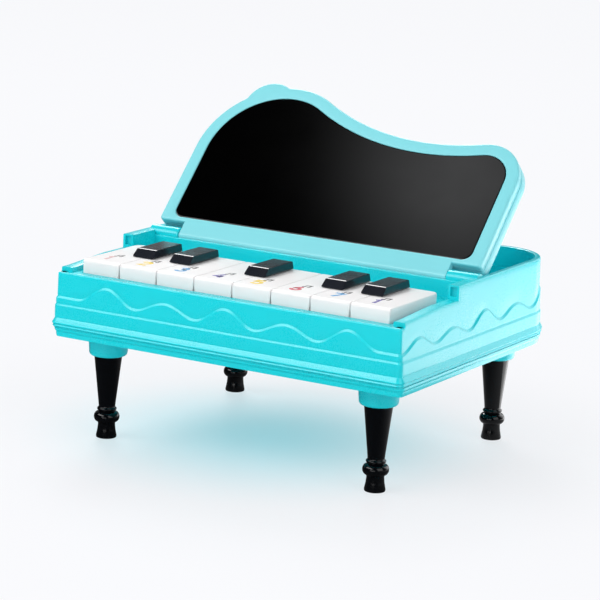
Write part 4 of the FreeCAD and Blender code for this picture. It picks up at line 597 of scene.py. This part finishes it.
key_dark = moulded_plastic("black_key_plastic", (0.012, 0.014, 0.021), 0.22, 0.02, 0.2, 0.4)
BLOCK_FRONT, BLOCK_REAR, BLOCK_LOW, BLOCK_HEIGHT, BLOCK_HALF = -50.853, -29.188, 71.95, 3.0, 4.75
BLOCK_CORNER, STEM_HALF, STEM_END = 0.3, 2.0, 54.1
FRONT_SLOPE, REAR_SLOPE, SIDE_SLOPE = 3.2, 0.5, 0.3
stem = oblong(STEM_HALF, STEM_FRONT, STEM_REAR, BLOCK_CORNER)
block = [at_level(stem, STEM_END), at_level(stem, BLOCK_LOW),
         at_level(oblong(4.6, BLOCK_FRONT + 0.2, BLOCK_REAR - 0.15, 0.5), BLOCK_LOW)]
for rise, draw in ((0.1, 0.0), (0.95, 0.0), (1.0, 0.35)):
    loop = oblong(BLOCK_HALF - SIDE_SLOPE * rise - draw, BLOCK_FRONT + FRONT_SLOPE * rise + draw,
                  BLOCK_REAR - REAR_SLOPE * rise - draw, BLOCK_CORNER)
    block.append(at_level(loop, BLOCK_LOW + BLOCK_HEIGHT * rise))
for number, gap in enumerate((-3, -2, 0, 2, 3), start=1):
    skin("black_key_block_%d" % number, np.asarray(block) + (gap * PITCH, 0, 0), key_dark, "case",
         ["black_key_%d" % number], sharp=12)

# Lid frame: a shallow turquoise tray of the piano outline, hollow below, with a skirt all round, a round
# finger tab on the hump, a field for the panel, and a barrel along its front that turns in the hinge.

# The lid's paler turquoise is painted light: a lighter copy of the case's plastic, for the lid's brightly lit
# faces.
lid_lit_turquoise = moulded_plastic("lid_painted_light_turquoise_plastic", (0.24, 0.735, 0.80), 0.36, 0.04, 0.03, 0.5)
LID_TURN = np.radians(46.24)
LID_INSET, LID_TOP, LID_FRONT, LID_CORNER, LID_ROUND = 2.8, 2.5, 5.4, 1.2, 0.8
FIELD_FRONT, FIELD_CORNER = 2.1, 4.0
TAB_BLEND, TAB_SPAN = 0.25, 14


def opened(rings):
    """Lid points, drawn closed about the hinge axis, turned up to the rest angle and set on the hinge."""
    across, back, up = np.moveaxis(np.asarray(rings, float), -1, 0)
    turned_back = back * np.cos(LID_TURN) - up * np.sin(LID_TURN) + HINGE[0]
    turned_up = back * np.sin(LID_TURN) + up * np.cos(LID_TURN) + HINGE[1]
    return np.stack([across, turned_back, turned_up], -1)


def lid_loop(inset, front, corner, stretch=0.0):
    """Lid outline drawn in from the case by an inset, with its own front edge and front corners."""
    points, normals = piano_outline(HINGE[0] + front - inset, corner + inset)
    reach = np.broadcast_to(stretch - inset, len(points))
    return points + reach[:, None] * normals - (0, HINGE[0])


def tab_stretch():
    """How far the finger tab carries the edge outwards: the way along the normal to the tab's circle.

    It is blended into the edge by a soft maximum with zero, and only points near the tab are taken.
    """
    points, normals = piano_outline(HINGE[0] + LID_FRONT - LID_INSET, LID_CORNER + LID_INSET)
    away = points - LID_INSET * normals - TAB
    across = (away * normals).sum(1)
    within = across ** 2 - (away ** 2).sum(1) + TAB_ROUND ** 2
    reach = np.where(within > 0, np.sqrt(np.maximum(within, 0)) - across, -1.0)
    return TAB_BLEND * np.logaddexp(0, np.where(away[:, 1] > -TAB_SPAN, reach, -20) / TAB_BLEND)


stretch = tab_stretch()
lid_skirt = [(2.0, -0.1), (2.0, -5.9), (1.8, -6.1), (0.35, -6.1), (0.1, -6.0), (0.0, -5.75), (0.0, -2.0),
             (0.06, -1.85), (0.28, -1.78), (0.32, -1.5), (0.28, -1.22), (0.06, -1.15), (0.0, -1.0), (0.0, -0.6)]
lid_edge = [(0.1, -0.52), (0.0, -0.3), (0.0, 1.5)]
for turn in np.radians((0, 20, 40, 60, 78, 90)):
    lid_edge.append((LID_ROUND - LID_ROUND * np.cos(turn), LID_TOP - LID_ROUND + LID_ROUND * np.sin(turn)))
lid_field = [(4.95, LID_TOP), (5.08, LID_TOP - 0.03), (5.26, LID_TOP - 0.15), (5.35, LID_TOP - 0.35),
             (5.35, 1.3)]
lid_rings = [at_level(lid_loop(LID_INSET + inset, LID_FRONT + inset, LID_CORNER, tab), level)
             for profile, tab in ((lid_skirt, 0.0), (lid_edge, stretch)) for inset, level in profile]
lid_rings += [at_level(lid_loop(LID_INSET + inset, FIELD_FRONT + inset, FIELD_CORNER), level)
              for inset, level in lid_field]
skin("lid_tray", opened(lid_rings), lid_lit_turquoise, "lid", ["lid_frame"])

BARREL_HALF, BARREL_ROUND, BARREL_BACK = 60.6, 2.5, 6.2
barrel = np.concatenate([[(BARREL_BACK, -0.1), (BARREL_BACK, LID_TOP)],
                         bend((0, 0), BARREL_ROUND, 90, 330, 40), [(2.4, -0.1)]])
skin("lid_barrel", opened(along_x(barrel, -BARREL_HALF, BARREL_HALF)), lid_lit_turquoise, "lid",
     ["lid_frame"])

RIB_HALF, RIB_DEPTH, RIB_BEVEL, RIB_GAP = 0.8, 2.7, 0.2, 1.0
RIB_FRONT = LID_FRONT + RIB_GAP
for number, share in enumerate((-0.5, 0.0, 0.5), start=1):
    across = share * (HALF - LID_INSET)
    rear = np.interp(across, *tray_edge.T) - HINGE[0] - RIB_GAP
    rib = [(RIB_FRONT, 0.0), (rear, 0.0), (rear, RIB_BEVEL - RIB_DEPTH), (rear - RIB_BEVEL, -RIB_DEPTH),
           (RIB_FRONT, -RIB_DEPTH)]
    skin("lid_rib_%d" % number, opened(along_x(rib, across - RIB_HALF, across + RIB_HALF)),
         lid_lit_turquoise, "lid", ["lid_frame"])

# Lid panel: a thin sheet of gloss black plastic laid into the lid's field.
# Its face is polished and shows soft reflections of the room.

HAZE_SCALE, SHEET_GLOSS, HAZE_GLOSS = 60.0, 0.07, 0.03


def polished_black(name):
    """High-gloss black: hardly any colour, with a faint haze of fine wiping marks in the gloss."""
    made, shader, place = new_material(name)
    haze = noise(place, HAZE_SCALE, 5.0)
    gloss = SHEET_GLOSS + HAZE_GLOSS * haze
    mixed(haze, (0.0002, 0.0002, 0.0002), (0.0004, 0.0004, 0.0005)).feed(shader, "Base Color")
    gloss.feed(shader, "Roughness")
    return made


panel_edge = [(5.5, 1.35), (5.5, 2.18), (5.54, 2.26), (5.65, 2.3), (5.8, 2.3)]
panel_rings = [at_level(lid_loop(LID_INSET + inset, FIELD_FRONT + inset, FIELD_CORNER), level)
               for inset, level in panel_edge]
skin("lid_sheet", opened(panel_rings), polished_black("polished_black_sheet"), "lid",
     ["lid_panel"])

# Table top: a large white sheet with a soft sheen. The camera sees it nearly white, with the toy's shadow
# and a painted turquoise reflection below the case. For mirrored rays it glows, dark in front and bright
# behind.


def eased(value, low, high, start, end):
    """A value mapped smoothly from one range, low to high, on to another, start to end, and held there."""
    return value.node("ShaderNodeMapRange", {"interpolation_type": "SMOOTHSTEP"},
                      {"Value": value, "From Min": low, "From Max": high, "To Min": start, "To Max": end})


def distance(place, centre):
    """Distance of a place from a fixed centre."""
    return place.node("ShaderNodeVectorMath", {"operation": "DISTANCE"}, {0: place, 1: centre}, 1)


def ray_kinds(tree):
    """Two Shades: one is 1 for rays from the camera, the other is 1 for mirrored rays."""
    rays = tree.nodes.new("ShaderNodeLightPath")
    return Shade(tree, rays.outputs["Is Camera Ray"]), Shade(tree, rays.outputs["Is Glossy Ray"])


TABLE_HALF, FRONT_SHEEN = 4, 0.06
TABLE_SHEEN = np.array([0.955, 0.965, 0.985])
floor = bpy.data.meshes.new("table_top")
floor.from_pydata([(-TABLE_HALF, -TABLE_HALF, 0), (TABLE_HALF, -TABLE_HALF, 0), (TABLE_HALF, TABLE_HALF, 0),
                   (-TABLE_HALF, TABLE_HALF, 0)], [], [(0, 1, 2, 3)])
table_top = bpy.data.objects.new("table_top", floor)
bpy.context.scene.collection.objects.link(table_top)
white, shader, place = new_material("white_table")
shader.inputs["Base Color"].default_value = (0.86, 0.86, 0.88, 1)
shader.inputs["Roughness"].default_value = 0.26
tree = white.node_tree
seen, mirrored = ray_kinds(tree)
away = distance(place, (-0.012, -0.018, 0.0))
fade = eased(away, 0.0, 0.2, 0.6, 0.97)
# Painted reflection: near the case the camera's glow turns turquoise, in place of light thrown off the case.
tint = eased(away, 0.0, 0.105, 0.0, 1.0)
glow_and_painted_reflection = mixed(tint, (0.46, 0.84, 0.93), (0.955, 0.96, 0.985))
glow = seen.node("ShaderNodeEmission", None, {"Color": glow_and_painted_reflection, "Strength": 1.0})
shown = seen.node("ShaderNodeMixShader", None, {0: seen * fade, 1: Shade(tree, shader.outputs[0]), 2: glow})
behind = place.node("ShaderNodeVectorMath", {"operation": "DOT_PRODUCT"}, {0: place, 1: (0.5, 0.86, 0.0)}, 1)
# Painted light for the toy's gloss: the sheet glows for mirrored rays, dim in front and bright behind.
sheen = mixed(eased(behind, -0.05, 0.2, 0.0, 1.0), FRONT_SHEEN * TABLE_SHEEN, TABLE_SHEEN)
reflected = place.node("ShaderNodeEmission", None, {"Color": sheen, "Strength": 1.0})
surface = seen.node("ShaderNodeMixShader", None, {0: mirrored, 1: shown, 2: reflected})
surface.feed(tree.nodes["Material Output"], "Surface")
floor.materials.append(white)

# Studio: white for the camera and dim for the toy. Gloss mirrors a small screen that glows in the lid panel,
# a faint rear wall, and a bright wall behind on the right that pales the lines of the right side.

DIM = 0.32
world = bpy.data.worlds.new("studio")
bpy.context.scene.world = world
world.use_nodes = True
tree = world.node_tree
seen, mirrored = ray_kinds(tree)
ray = Shade(tree, tree.nodes.new("ShaderNodeTexCoord").outputs["Generated"])
screen = eased(distance(ray, (-0.4456, -0.2040, 0.8717)), 0.0, 0.058, 1.5, 0.0)
rear_wall = eased(ray.node("ShaderNodeSeparateXYZ", None, {0: ray}, 1), 0.05, 0.45, 0.0, 0.12)
right_wall = eased(distance(ray, (0.30, 0.86, 0.40)), 0.25, 0.6, 2.8, 0.0)
strength = DIM + mirrored * (screen + rear_wall + right_wall - DIM)
dim = seen.node("ShaderNodeBackground", None, {"Color": (0.97, 0.98, 1.0, 1), "Strength": strength})
plain = seen.node("ShaderNodeBackground", None, {"Color": (0.975, 0.975, 0.985, 1), "Strength": 1.0})
sky = seen.node("ShaderNodeMixShader", None, {0: seen, 1: dim, 2: plain})
sky.feed(tree.nodes["World Output"], "Surface")

# Lamps: a wide key lamp at the front left, one behind on the left, one on the right and a low fill in front.
# A flat lamp on the table behind on the right is mirrored in the right side. Sizes in metres, power in watts.


def unit(vector):
    """A vector shortened or stretched to length one."""
    return vector / np.linalg.norm(vector)


def stand(thing, place, right, up, back):
    """Put a thing at a place, with its own three axes, and add it to the scene."""
    axes = np.eye(4)
    axes[:3, :3] = np.stack([right, up, back], 1)
    axes[:3, 3] = place
    thing.matrix_world = Matrix(axes.tolist())
    bpy.context.scene.collection.objects.link(thing)


lamps = {"key_lamp": ((-0.61, -0.82, 0.88), (0, 0, 0.06), 1.4, 0.45, 10.4),
         "top_lamp": ((-0.64, 0.79, 0.87), (0, 0, 0.06), 0.5, 0.5, 9.3),
         "side_lamp": ((0.95, -0.35, 0.6), (0, 0, 0.06), 0.9, 0.9, 4.6),
         "low_fill": ((0.1, -1.0, 0.1), (0, 0, 0.05), 0.7, 0.15, 1.3),
         "table_reflector": ((0.25, 0.235, 0.004), (0.25, 0.235, 1.0), 0.36, 0.36, 1.05)}
for name, (place, target, width, height, power) in lamps.items():
    light = bpy.data.lights.new(name, "AREA")
    light.shape = "RECTANGLE"
    light.size = width
    light.size_y = height
    light.energy = power
    lamp = bpy.data.objects.new(name, light)
    lamp.visible_camera = False
    back = unit(np.array(place) - target)
    right = unit(np.cross((0, 0.001, 1), back))
    stand(lamp, place, right, np.cross(back, right), back)

# Camera: a long lens at the photographer's place, a little above the toy and to its right.
# It leans by a small roll, as the photograph does.

EYE, AIM = np.array([0.53516, -0.93768, 0.28844]), np.array([-0.003462, -0.0094, 0.055188])
ROLL = np.radians(2.3841)
back = unit(EYE - AIM)
level = unit(np.cross((0, 0, 1), back))
upwards = np.cross(back, level)
camera = bpy.data.objects.new("camera", bpy.data.cameras.new("camera"))
camera.data.lens = 167.2
camera.data.sensor_width = 36.0
right = np.cos(ROLL) * level + np.sin(ROLL) * upwards
up = np.cos(ROLL) * upwards - np.sin(ROLL) * level
stand(camera, EYE, right, up, back)
bpy.context.scene.camera = camera
bpy.context.scene.view_settings.view_transform = "Standard"
